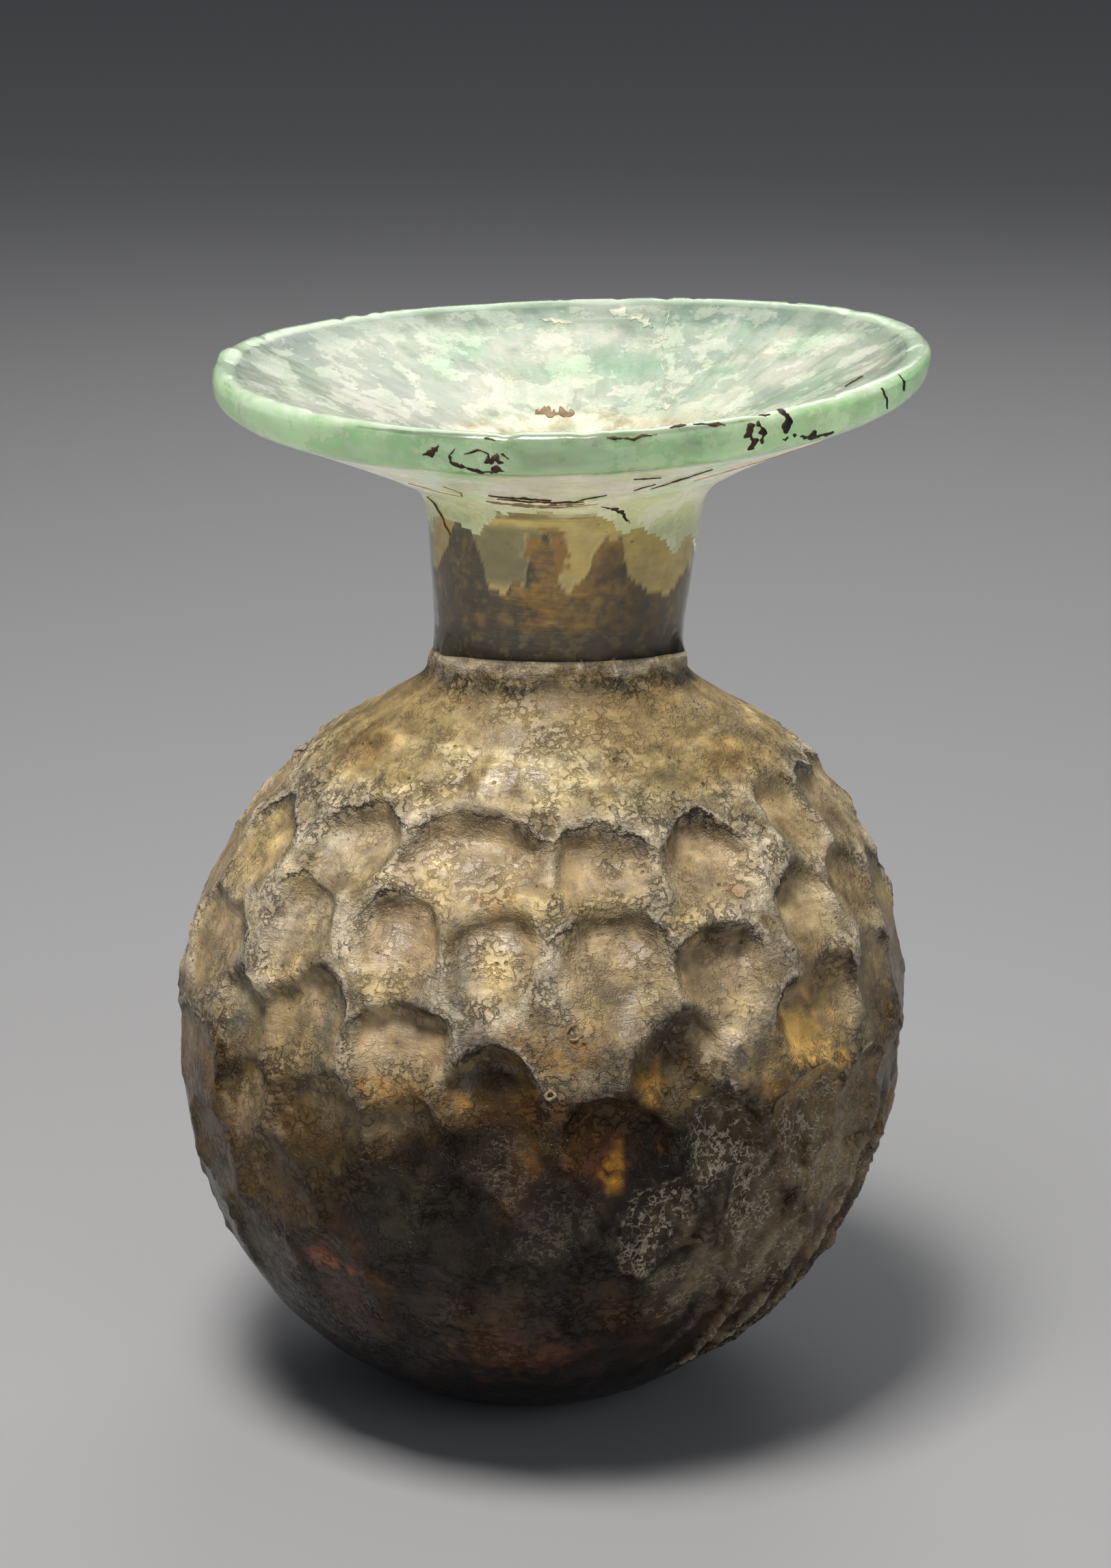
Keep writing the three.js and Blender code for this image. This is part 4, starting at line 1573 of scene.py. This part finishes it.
@dataclass(frozen=True)
class CrustFinish(SurfaceFinish):
    """Weathered crust: matt crumbs and pits over a half-glossy brown skin."""

    rough_low: float = 0.16
    rough_high: float = 0.5
    bump: float = 1.0
    bump_depth: float = 0.0014
    contrast: float = 0.34
    gleam: float = 0.75
    fleck: float = 0.34

    def surface(self, nodes: FinishNodes) -> Socket:
        """Shades the crust by its painted values.

        Args:
            nodes: The material's nodes.

        Returns:
            The shader.
        """
        masks = self.masks(nodes)
        rough = nodes.remap(nodes.attribute("gloss"), 0.0, 1.0, self.rough_high, self.rough_low)
        rough = nodes.plus(rough, nodes.times(nodes.minus(nodes.worn["Cloud"], 0.5), 0.5), True)
        return nodes.principled(
            self.colour(nodes, masks), rough, self.relief(nodes, masks),
            (self.bump, self.bump_depth), Specular_IOR_Level=self.gleam)

    def masks(self, nodes: FinishNodes) -> CrustMasks:
        """Makes the masks of the crust.

        Args:
            nodes: The material's nodes.

        Returns:
            The masks.
        """
        worn, place, salt = nodes.worn, nodes.place, nodes.attribute("salt")
        worms = nodes.remap(worn["Wrinkle"], 0.12, 0.55, 0.0, 1.3)
        salted = nodes.times(nodes.most(nodes.times(worn["Speckle"], 0.75), worms), salt, True)
        stray = nodes.plus(
            nodes.times(nodes.minus(nodes.noise(place, 300.0, 5.0, 0.62), 0.5), 0.8),
            nodes.times(nodes.minus(nodes.noise(place, 1700.0, 3.0, 0.6), 0.5), 0.4))
        edge = nodes.plus(nodes.attribute("rim"), stray)
        lip = nodes.remap(nodes.attribute("lift"), -0.1, 0.5)
        # The crack along each hollow's upper edge: a groove in the relief, and in the colour a dark
        # line painted as the shadow under that edge.
        width = nodes.remap(nodes.noise(place, 230.0, 4.0, 0.6), 0.40, 0.62, 0.0, 0.13)
        crack_and_shadow = nodes.times(nodes.remap(nodes.apart(edge, 0.04), width, 0.0), lip)
        return CrustMasks(nodes.attribute("grit"), salt, salted, edge, lip, crack_and_shadow)

    def colour(self, nodes: FinishNodes, masks: CrustMasks) -> Socket:
        """Lays clouds, salts, crests painted pale as highlights, streaks, flecks, stains, and
        wrinkles and cracks painted dark as shade on the tint.

        Args:
            nodes: The material's nodes.
            masks: The crust's masks.

        Returns:
            The base colour.
        """
        worn, grit, deep = nodes.worn, masks.grit, nodes.attribute("deep")
        cloud = nodes.remap(worn["Cloud"], 0.32, 0.68, 1.0 - self.contrast, 1.0 + self.contrast)
        # Painted highlight: the crest just above each hollow's upper edge is made pale where the
        # lamp above catches it.
        crest_highlight = nodes.remap(nodes.apart(masks.edge, -0.13), 0.14, 0.0)
        crest_highlight = nodes.times(crest_highlight, nodes.plus(masks.lip, 0.15), True)
        pale = nodes.times(nodes.times(crest_highlight, grit), nodes.remap(deep, 0.5, 0.0, 0.0, 0.75), True)
        colour = nodes.glazed(nodes.tint(cloud, cloud, nodes.times(cloud, 0.97)),
                              (masks.salted, P.CHALK), (pale, P.CHALK))
        brush = nodes.remap(worn["Streaks"], 0.32, 0.68, 1.35, 0.65)
        plain = nodes.times(nodes.remap(nodes.attribute("rim"), -0.45, -0.9, 0.25, 1.0),
                            nodes.remap(deep, 0.5, 0.0, 0.2, 1.0))
        colour = nodes.blend(plain, colour, nodes.shaded(colour, brush, brush, brush))
        light = nodes.times(nodes.remap(deep, 0.6, 0.0), self.fleck)
        bare = nodes.minus(nodes.minus(grit, masks.salt), 0.12)
        # Dark pits and flake lines, with the wrinkles' creases and the edge crack painted dark as
        # shade.
        dark = nodes.most(
            nodes.times(worn["Flakes"], nodes.times(grit, 0.22), True),
            nodes.times(worn["Pits"], 0.6),
            nodes.times(worn["Wrinkle"], nodes.times(bare, 0.75), True),
            nodes.times(masks.crack_and_shadow, 0.85))
        return nodes.glazed(colour, (nodes.times(worn["Flecks"], light), P.STRAW),
                            (nodes.times(worn["Stains"], light), P.UMBER), (dark, P.BISTRE))

    def relief(self, nodes: FinishNodes, masks: CrustMasks) -> Socket:
        """Adds up the crust's fine relief.

        Args:
            nodes: The material's nodes.
            masks: The crust's masks.

        Returns:
            The bump's height.
        """
        worn = nodes.worn
        height = nodes.minus(worn["Relief"], nodes.times(worn["Wrinkle"], 0.34))
        height = nodes.minus(height, nodes.times(worn["Pits"], 0.35))
        height = nodes.plus(height, nodes.times(masks.salted, 0.35))
        height = nodes.times(height, masks.grit)
        height = nodes.plus(height, nodes.times(worn["Streaks"], 0.16))
        step = nodes.times(nodes.remap(masks.edge, -0.06, 0.10), masks.lip)
        height = nodes.minus(height, nodes.times(step, 0.30))
        return nodes.minus(height, nodes.times(masks.crack_and_shadow, 0.25))


@dataclass(frozen=True)
class GlassFinish(SurfaceFinish):
    """Old glass under a film: part clear, part milky, by its plain transmission.

    Veil and veil share are the colour and strength of the flaking film; scatter and scatter
    depth, in metres, let light spread inside the glass.
    """

    transmission: float
    roughness: float
    size: float = field(default=0.6, kw_only=True)
    bump: float = 0.15
    bump_depth: float = 0.0004
    veil: Pigment = P.MILK
    veil_share: float = 0.0
    shadow: float = 0.9
    scatter: float = 0.0
    scatter_depth: float = 0.004
    scatter_tint: tuple[float, float, float] = (1.0, 1.0, 0.8)
    gleam: float = 0.5

    def surface(self, nodes: FinishNodes) -> Socket:
        """Shades the glass; lamps' rays pass through it, so what is behind stays lit.

        Args:
            nodes: The material's nodes.

        Returns:
            The shader.
        """
        worn = nodes.worn
        cloud = nodes.remap(worn["Cloud"], 0.3, 0.7, 0.86, 1.08)
        colour = nodes.tint(cloud, cloud, cloud)
        if self.veil_share:
            colour = self.veiled(nodes, colour)
        rough = nodes.remap(worn["Cloud"], 0.3, 0.7, self.roughness * 0.6, self.roughness * 1.5)
        glass = nodes.principled(
            colour, rough, worn["Relief"], (self.bump, self.bump_depth), IOR=1.5,
            Transmission_Weight=self.transmission, Specular_IOR_Level=self.gleam,
            Subsurface_Weight=self.scatter, Subsurface_Radius=self.scatter_tint,
            Subsurface_Scale=self.scatter_depth)
        clear = nodes.feed(nodes.add("ShaderNodeBsdfTransparent"),
                           Color=(self.shadow, self.shadow, self.shadow, 1.0)).outputs[0]
        in_shadow = nodes.add("ShaderNodeLightPath").outputs["Is Shadow Ray"]
        return nodes.feed(nodes.add("ShaderNodeMixShader"), in_shadow, glass, clear).outputs[0]

    def veiled(self, nodes: FinishNodes, colour: Socket) -> Socket:
        """Lays the flaking film over the glass: flakes, grey spots and the flakes' dark rims.

        Args:
            nodes: The material's nodes.
            colour: The glass's own colour.

        Returns:
            The veiled colour.
        """
        worn, share = nodes.worn, self.veil_share
        rim = nodes.remap(nodes.apart(worn["Cloud"], 0.508), 0.012, 0.0, 0.0, 0.6 * share)
        return nodes.glazed(
            colour, (nodes.remap(worn["Cloud"], 0.5, 0.525, 0.0, share), self.veil),
            (nodes.times(worn["Flecks"], 0.9 * share), P.SMOKE), (rim, P.MOSS),
            (nodes.times(worn["Flakes"], 0.55 * share), P.MOSS))


@dataclass(frozen=True)
class LineFinish(SurfaceFinish):
    """Thin crust or film whose colour varies along it between two pigments."""

    pigment: Pigment
    second: Pigment
    rough: float = 0.6
    rough_spread: float = 0.15
    bump: tuple[float, float] = (0.6, 0.0003)
    size: float = field(default=2.0, kw_only=True)

    def surface(self, nodes: FinishNodes) -> Socket:
        """Shades the line.

        Args:
            nodes: The material's nodes.

        Returns:
            The shader.
        """
        cloud = nodes.worn["Cloud"]
        colour = nodes.blend(nodes.remap(cloud, 0.35, 0.65), rgba(self.pigment),
                             rgba(self.second))
        rough = nodes.remap(cloud, 0.3, 0.7, self.rough - self.rough_spread,
                            self.rough + self.rough_spread)
        return nodes.principled(colour, rough, nodes.worn["Relief"], self.bump)


VESSEL_FINISHES: dict[Slot, SurfaceFinish] = {
    Slot.BURIAL_CRUST: CrustFinish("burial_crust"),
    Slot.NECK_GLASS: GlassFinish("neck_glass", 0.94, 0.02, bump=0.05, gleam=0.25),
    Slot.LIP_GLASS: GlassFinish("lip_glass", 0.55, 0.10, bump=0.2, veil_share=0.25),
    Slot.DISH_FILM: GlassFinish("dish_film", 0.45, 0.2, bump=0.9, veil=P.CREAM, veil_share=0.4),
    Slot.BORE_CRUST: CrustFinish("bore_crust", 0.4, 0.8, bump_depth=0.0008, size=1.6,
                                 contrast=0.55, fleck=0.12),
    Slot.BORE_STAIN: CrustFinish("bore_stain", 0.4, 0.7, bump=0.35, bump_depth=0.0005,
                                 contrast=0.14, fleck=0.08),
    Slot.SOIL_FILM: CrustFinish("soil_film", 0.7, 0.9),
    Slot.FLANGE_FILM: GlassFinish("flange_film", 0.0, 0.2, bump=0.4, veil=P.CREAM,
                                  veil_share=0.4, scatter=1.0, scatter_depth=0.016),
    Slot.DEEP_CRUST: CrustFinish("deep_crust", 0.14, 0.34, gleam=0.28),
}


@dataclass(frozen=True)
class Streak:
    """A thin flake or line of film or crust that lies on the glass.

    Its course is given as azimuth in degrees and share of the way along its zone; its width is
    in millimetres.
    """

    zone: Zone
    course: tuple[tuple[float, float], ...]
    width: float = 0.35


LIP, DISH, UNDER, NECK = Zone.LIP, Zone.DISH, Zone.UNDERSIDE, Zone.NECK

DARK_FLECKS: tuple[Streak, ...] = (
    Streak(LIP, ((-22.6, 0.36), (-21.0, 0.42), (-20.0, 0.50)), 0.7),
    Streak(LIP, ((-17.4, 0.47), (-18.3, 0.38), (-18.0, 0.28), (-17.0, 0.21), (-15.4, 0.20),
                 (-14.2, 0.16)), 0.36),
    Streak(LIP, ((-15.8, 0.18), (-14.0, 0.12), (-12.4, 0.13), (-11.8, 0.10)), 0.45),
    Streak(LIP, ((-16.0, 0.40), (-14.0, 0.47), (-12.3, 0.43), (-12.0, 0.30)), 0.18),
    Streak(LIP, ((-13.2, 0.63), (-11.4, 0.60)), 0.22),
    Streak(LIP, ((27.0, 0.60), (27.6, 0.42), (28.3, 0.22)), 0.9),
    Streak(LIP, ((28.7, 0.62), (29.4, 0.45), (29.7, 0.28)), 0.55),
    Streak(LIP, ((29.3, 0.72), (31.2, 0.69)), 0.5),
    Streak(LIP, ((33.0, 0.76), (33.6, 0.56), (34.0, 0.36)), 0.65),
    Streak(LIP, ((33.4, 0.27), (34.4, 0.28)), 0.42), Streak(LIP, ((35.2, 0.31), (35.9, 0.30)), 0.3),
    Streak(LIP, ((36.8, 0.26), (40.5, 0.20), (44.2, 0.17)), 0.5),
    Streak(LIP, ((18.3, 0.72), (20.6, 0.67), (23.2, 0.63)), 0.32),
    Streak(LIP, ((14.6, 0.70), (17.2, 0.72)), 0.24),
    Streak(LIP, ((55.0, 0.60), (56.8, 0.42), (58.0, 0.25)), 0.34),
    Streak(LIP, ((62.0, 0.68), (63.2, 0.40)), 0.3),
    Streak(DISH, ((74.0, 0.27), (77.4, 0.20)), 0.55),
    Streak(UNDER, ((-19.5, 0.22), (-14.0, 0.16), (-8.0, 0.12), (-4.3, 0.10)), 0.8),
    Streak(UNDER, ((-18.8, 0.10), (-12.0, 0.06), (-7.0, 0.04), (-3.0, 0.03), (4.5, 0.02)), 0.6),
    Streak(LIP, ((-13.0, 0.30), (-11.5, 0.34), (-10.0, 0.30)), 0.6),
    Streak(LIP, ((-12.0, 0.20), (-10.0, 0.16)), 0.5),
    Streak(LIP, ((-10.5, 0.42), (-9.2, 0.36)), 0.4),
    Streak(LIP, ((5.0, 0.62), (9.0, 0.58), (12.5, 0.62)), 0.22),
    Streak(UNDER, ((2.0, 0.04), (5.5, 0.13), (9.4, 0.21)), 0.22),
    Streak(UNDER, ((11.6, 0.69), (14.6, 0.66), (17.2, 0.64)), 0.28),
    Streak(UNDER, ((19.6, 0.26), (23.6, 0.44), (27.2, 0.66)), 0.3),
    Streak(UNDER, ((15.0, 0.30), (18.6, 0.42)), 0.22),
    Streak(NECK, ((11.0, 0.90), (18.0, 0.82), (26.0, 0.71)), 0.34),
    Streak(NECK, ((-62.0, 0.80), (-60.0, 0.68), (-55.0, 0.60)), 0.26),
    Streak(LIP, ((150.0, 0.5), (153.0, 0.3)), 0.5), Streak(LIP, ((205.0, 0.6), (211.0, 0.35)), 0.3),
)

FILM_EDGES: tuple[Streak, ...] = (
    Streak(UNDER, ((-40.0, 0.30), (-36.0, 0.12), (-30.0, 0.04)), 0.3),
    Streak(NECK, ((-24.0, 0.985), (-14.0, 0.965), (-4.0, 0.97), (5.0, 0.985)), 1.1),
    Streak(NECK, ((-17.0, 0.94), (-8.0, 0.925), (2.0, 0.945), (9.0, 0.97)), 0.55),
    Streak(UNDER, ((-30.0, 0.05), (-27.0, 0.2), (-28.0, 0.4)), 0.22),
    Streak(UNDER, ((30.0, 0.30), (40.0, 0.55), (48.0, 0.85)), 0.3),
)

DISH_MARKS: tuple[Streak, ...] = (
    Streak(DISH, ((161.0, 0.0), (159.0, 0.30), (155.0, 0.52), (149.0, 0.70), (140.0, 0.90)), 0.13),
    Streak(DISH, ((158.0, 0.27), (159.8, 0.33)), 0.7),
    Streak(DISH, ((143.0, 0.85), (139.0, 0.91)), 0.6),
    Streak(DISH, ((172.5, 0.04), (166.0, 0.12), (162.4, 0.19)), 1.3),
    Streak(DISH, ((186.0, 0.10), (179.0, 0.14)), 0.9),
)

THROAT_STAIN: tuple[Streak, ...] = (
    Streak(DISH, ((193.0, 0.95), (185.0, 0.97), (177.0, 0.95)), 2.0),
)

# Burst bubbles: azimuth in degrees, and climb and radius in millimetres.
BUBBLES: tuple[tuple[float, float, float], ...] = (
    (4.3, 66.3, 0.75), (1.0, 60.0, 0.42), (196.0, 70.0, 0.6),
)


@dataclass(frozen=True)
class StreakSet:
    """Streaks that are joined into one named piece, and how much they are widened."""

    name: str
    streaks: tuple[Streak, ...]
    finish: LineFinish
    boldness: float = 1.0


STREAK_SETS: tuple[StreakSet, ...] = (
    StreakSet("lip_flecks", DARK_FLECKS, LineFinish("fleck_crust", P.BISTRE, P.WALNUT), 1.4),
    StreakSet("film_edges", FILM_EDGES, LineFinish("film_edge", P.SAND, P.TAUPE, 0.5)),
    StreakSet("dish_marks", DISH_MARKS, LineFinish("dish_mark", P.SMOKE, P.SAGE)),
    StreakSet("throat_stain", THROAT_STAIN, LineFinish("throat_stain", P.TAUPE, P.UMBER)),
)


@dataclass
class SurfaceCrusts:
    """Flakes, lines and burst bubbles that lie on the finished glass; sizes in millimetres."""

    vessel: bpy.types.Object
    form: VesselForm = field(default_factory=VesselForm)
    stand: float = 0.06
    thickness: float = 0.10
    step: float = 0.22
    broad_streak: float = 0.8
    bubble_rim: float = 0.17
    bubble_rough: float = 0.2

    def __post_init__(self) -> None:
        """Makes a search tree of the glass and keeps the section's lines."""
        self.tree = BVHTree.FromObject(self.vessel, bpy.context.evaluated_depsgraph_get())
        self.lines = {zone: (line, lengths_along(line)) for zone, line, _ in self.form.runs()}

    def nearest(self, zone: Zone, azimuth: Array, along: Array) -> list[tuple[Vector, Vector]]:
        """Finds the glass nearest to places of the unpressed shape.

        Args:
            zone: The stretch of the section.
            azimuth: Degrees.
            along: Millimetres along the zone.

        Returns:
            For each place the spot on the glass, in metres, and its normal.
        """
        line, lengths = self.lines[zone]
        ideal = self.form.shaped(np.interp(along, lengths, line[:, 0]),
                                 np.interp(along, lengths, line[:, 1]), np.radians(azimuth))
        return [self.tree.find_nearest(Vector(spot))[:2] for spot in ideal * MM]

    def ribbon(self, streak: Streak, seed: int, boldness: float) -> bpy.types.Object:
        """Models one streak: a grid bent along its course, ragged and given its thickness.

        Args:
            streak: The streak.
            seed: Number that gives it its own ragged edge.
            boldness: How much it is widened.

        Returns:
            Its object.
        """
        line, lengths = self.lines[streak.zone]
        course = np.array(streak.course)
        along = course[:, 1] * lengths[-1]
        mean = float(np.interp(along.mean(), lengths, line[:, 0]))
        flat = np.column_stack([np.radians(course[:, 0]) * mean, along])
        way = lengths_along(flat)
        bpy.ops.object.select_all(action="DESELECT")
        bpy.ops.mesh.primitive_grid_add(
            x_subdivisions=max(6, int(way[-1] / self.step)),
            y_subdivisions=4 if streak.width > self.broad_streak else 2, size=2.0)
        ribbon = bpy.context.object
        spots = read_points(ribbon)
        share = (spots[:, 0] + 1.0) / 2.0
        centre, before, after = (
            np.column_stack([np.interp(np.clip(share + shift, 0, 1) * way[-1], way, flat[:, k])
                             for k in (0, 1)]) for shift in (0.0, -0.03, 0.03))
        ahead = after - before
        ahead /= np.linalg.norm(ahead, axis=1)[:, None]
        side = np.sign(np.round(spots[:, 1], 3))
        key = np.column_stack([centre, side * 3.0 + seed * 7.7])
        ragged = 0.8 + 1.9 * grain(key, 0.8, 4, 30.0)
        taper = np.clip(np.sin(np.pi * np.clip(share, 0.02, 0.98)), 0.0, 1.0) ** 0.45
        half = 0.5 * boldness * streak.width * taper * np.clip(ragged, 0.08, 2.4)
        bent = centre + np.column_stack([-ahead[:, 1], ahead[:, 0]]) * (
            spots[:, 1] * half)[:, None]
        write_points(ribbon, np.array([
            spot + normal * self.stand * MM for spot, normal in self.nearest(
                streak.zone, np.degrees(bent[:, 0] / mean), bent[:, 1])]))
        solid = ribbon.modifiers.new("thickness", "SOLIDIFY")
        solid.thickness = self.thickness * MM
        solid.offset = 0.0
        bpy.ops.object.modifier_apply(modifier=solid.name)
        return ribbon

    def bubble(self, azimuth: float, climb: float, reach: float) -> bpy.types.Object:
        """Models one burst bubble: a small, uneven raised ring.

        Args:
            azimuth: Degrees.
            climb: Millimetres up the wall.
            reach: Its radius in millimetres.

        Returns:
            Its object.
        """
        where, normal = self.nearest(Zone.WALL, np.array([azimuth]), np.array([climb]))[0]
        bpy.ops.object.select_all(action="DESELECT")
        bpy.ops.mesh.primitive_torus_add(
            location=where, rotation=normal.to_track_quat("Z", "Y").to_euler(),
            major_radius=reach * MM, minor_radius=self.bubble_rim * MM, major_segments=28,
            minor_segments=10)
        bpy.ops.object.transform_apply(location=True, rotation=True, scale=True)
        ring = bpy.context.object
        points = read_points(ring)
        write_points(ring, points + self.bubble_rough * MM * np.column_stack(
            [grain(points / MM, 0.8, 3, 31.0 + k) for k in range(3)]))
        return ring

    def build(self, effect: bpy.types.ShaderNodeTree) -> None:
        """Models every set of streaks and the bubbles.

        Args:
            effect: The shared weathering.
        """
        for kind in STREAK_SETS:
            ribbons = [self.ribbon(streak, index, kind.boldness)
                       for index, streak in enumerate(kind.streaks)]
            joined(kind.name, ribbons, kind.finish.build(effect))
        joined("burst_bubbles", [self.bubble(*bubble) for bubble in BUBBLES],
               LineFinish("bubble_rim", P.SAND, P.UMBER, 0.3).build(effect))


def joined(name: str, parts: list[bpy.types.Object],
           material: bpy.types.Material) -> bpy.types.Object:
    """Joins parts into one finished piece.

    Args:
        name: The piece's name.
        parts: The parts' objects.
        material: Its finish.

    Returns:
        The piece.
    """
    bpy.ops.object.select_all(action="DESELECT")
    for part in parts:
        part.select_set(True)
    bpy.context.view_layer.objects.active = parts[0]
    bpy.ops.object.join()
    piece = bpy.context.object
    piece.name = name
    piece.data.name = name
    bpy.ops.object.mode_set(mode="EDIT")
    bpy.ops.mesh.select_all(action="SELECT")
    bpy.ops.mesh.normals_make_consistent(inside=False)
    bpy.ops.object.mode_set(mode="OBJECT")
    bpy.ops.object.shade_smooth()
    piece.data.materials.clear()
    piece.data.materials.append(material)
    declare(piece)
    return piece


def declare(piece: bpy.types.Object) -> None:
    """Ties a piece to the bottle's body, and reports it.

    Args:
        piece: The finished piece.
    """
    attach(piece, BODY)
    LOG.info("%s: %d vertices, %d faces", piece.name, len(piece.data.vertices),
             len(piece.data.polygons))


@dataclass(frozen=True)
class Lamp:
    """A soft square lamp: its place and size in metres, power in watts, and colour."""

    name: str
    place: tuple[float, float, float]
    size: float
    power: float
    colour: tuple[float, float, float]


@dataclass
class Studio:
    """Pale floor, soft lamps and the camera, in metres and degrees."""

    eye: tuple[float, float, float] = (0.00342, -0.400, 0.1921)
    pitch: float = -17.17
    lens: float = 88.0
    sensor: float = 36.0
    floor_size: float = 6.0
    floor_drop: float = 0.00005
    floor_colour: tuple[float, float, float, float] = (0.42, 0.42, 0.43, 1.0)
    floor_roughness: float = 0.75
    sky_colour: tuple[float, float, float, float] = (0.80, 0.85, 0.92, 1.0)
    sky_strength: float = 0.10
    aim: tuple[float, float, float] = (0.0, 0.0, 0.06)
    lamps: tuple[Lamp, ...] = (
        Lamp("key", (-0.10, -0.16, 0.62), 0.18, 3.7, (1.0, 0.97, 0.93)),
        Lamp("fill", (0.40, -0.52, 0.36), 0.40, 0.55, (0.95, 0.97, 1.0)),
        Lamp("back", (0.10, 0.50, 0.50), 0.40, 0.9, (1.0, 1.0, 1.0)),
    )

    def build(self) -> None:
        """Makes the stage, lamps, surroundings and camera."""
        self.floor()
        for lamp in self.lamps:
            self.hang(lamp)
        self.surroundings()
        self.camera()
        bpy.context.scene.view_settings.view_transform = "Standard"
        bpy.context.scene.cycles.use_denoising = True

    def floor(self) -> None:
        """Lays the plain pale floor."""
        bpy.ops.object.select_all(action="DESELECT")
        bpy.ops.mesh.primitive_plane_add(size=self.floor_size,
                                         location=(0.0, 0.0, -self.floor_drop))
        floor = bpy.context.object
        floor.name = "floor"
        bpy.ops.object.transform_apply(location=True, rotation=True, scale=True)
        material = bpy.data.materials.new("floor_paper")
        material.use_nodes = True
        shader = material.node_tree.nodes["Principled BSDF"]
        shader.inputs["Base Color"].default_value = self.floor_colour
        shader.inputs["Roughness"].default_value = self.floor_roughness
        floor.data.materials.append(material)

    def hang(self, lamp: Lamp) -> None:
        """Hangs a lamp that faces the bottle.

        Args:
            lamp: The lamp.
        """
        bpy.ops.object.light_add(type="AREA", location=lamp.place)
        light = bpy.context.object
        light.name = f"{lamp.name}_lamp"
        light.data.energy = lamp.power
        light.data.size = lamp.size
        light.data.color = lamp.colour
        facing = Vector(self.aim) - Vector(lamp.place)
        light.rotation_euler = facing.to_track_quat("-Z", "Y").to_euler()

    def surroundings(self) -> None:
        """Gives the room its even grey light."""
        world = bpy.data.worlds.new("soft_room")
        world.use_nodes = True
        sky = world.node_tree.nodes["Background"]
        sky.inputs["Color"].default_value = self.sky_colour
        sky.inputs["Strength"].default_value = self.sky_strength
        bpy.context.scene.world = world

    def camera(self) -> None:
        """Sets the camera at its place."""
        bpy.ops.object.camera_add(
            location=self.eye, rotation=(math.radians(90.0 + self.pitch), 0.0, 0.0))
        camera = bpy.context.object
        camera.data.lens = self.lens
        camera.data.sensor_width = self.sensor
        camera.data.dof.use_dof = False
        camera.data.clip_start = 0.01
        bpy.context.scene.camera = camera


def main() -> None:
    """Builds the bottle, its crusts and its stage."""
    logging.basicConfig(level=logging.INFO, format="%(message)s")
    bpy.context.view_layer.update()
    effect = weathering_group()
    vessel = Vessel().build()
    for finish in VESSEL_FINISHES.values():
        vessel.data.materials.append(finish.build(effect))
    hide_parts(CAD_NODE)
    declare(vessel)
    SurfaceCrusts(vessel).build(effect)
    Studio().build()


if __name__ == "__main__":
    main()
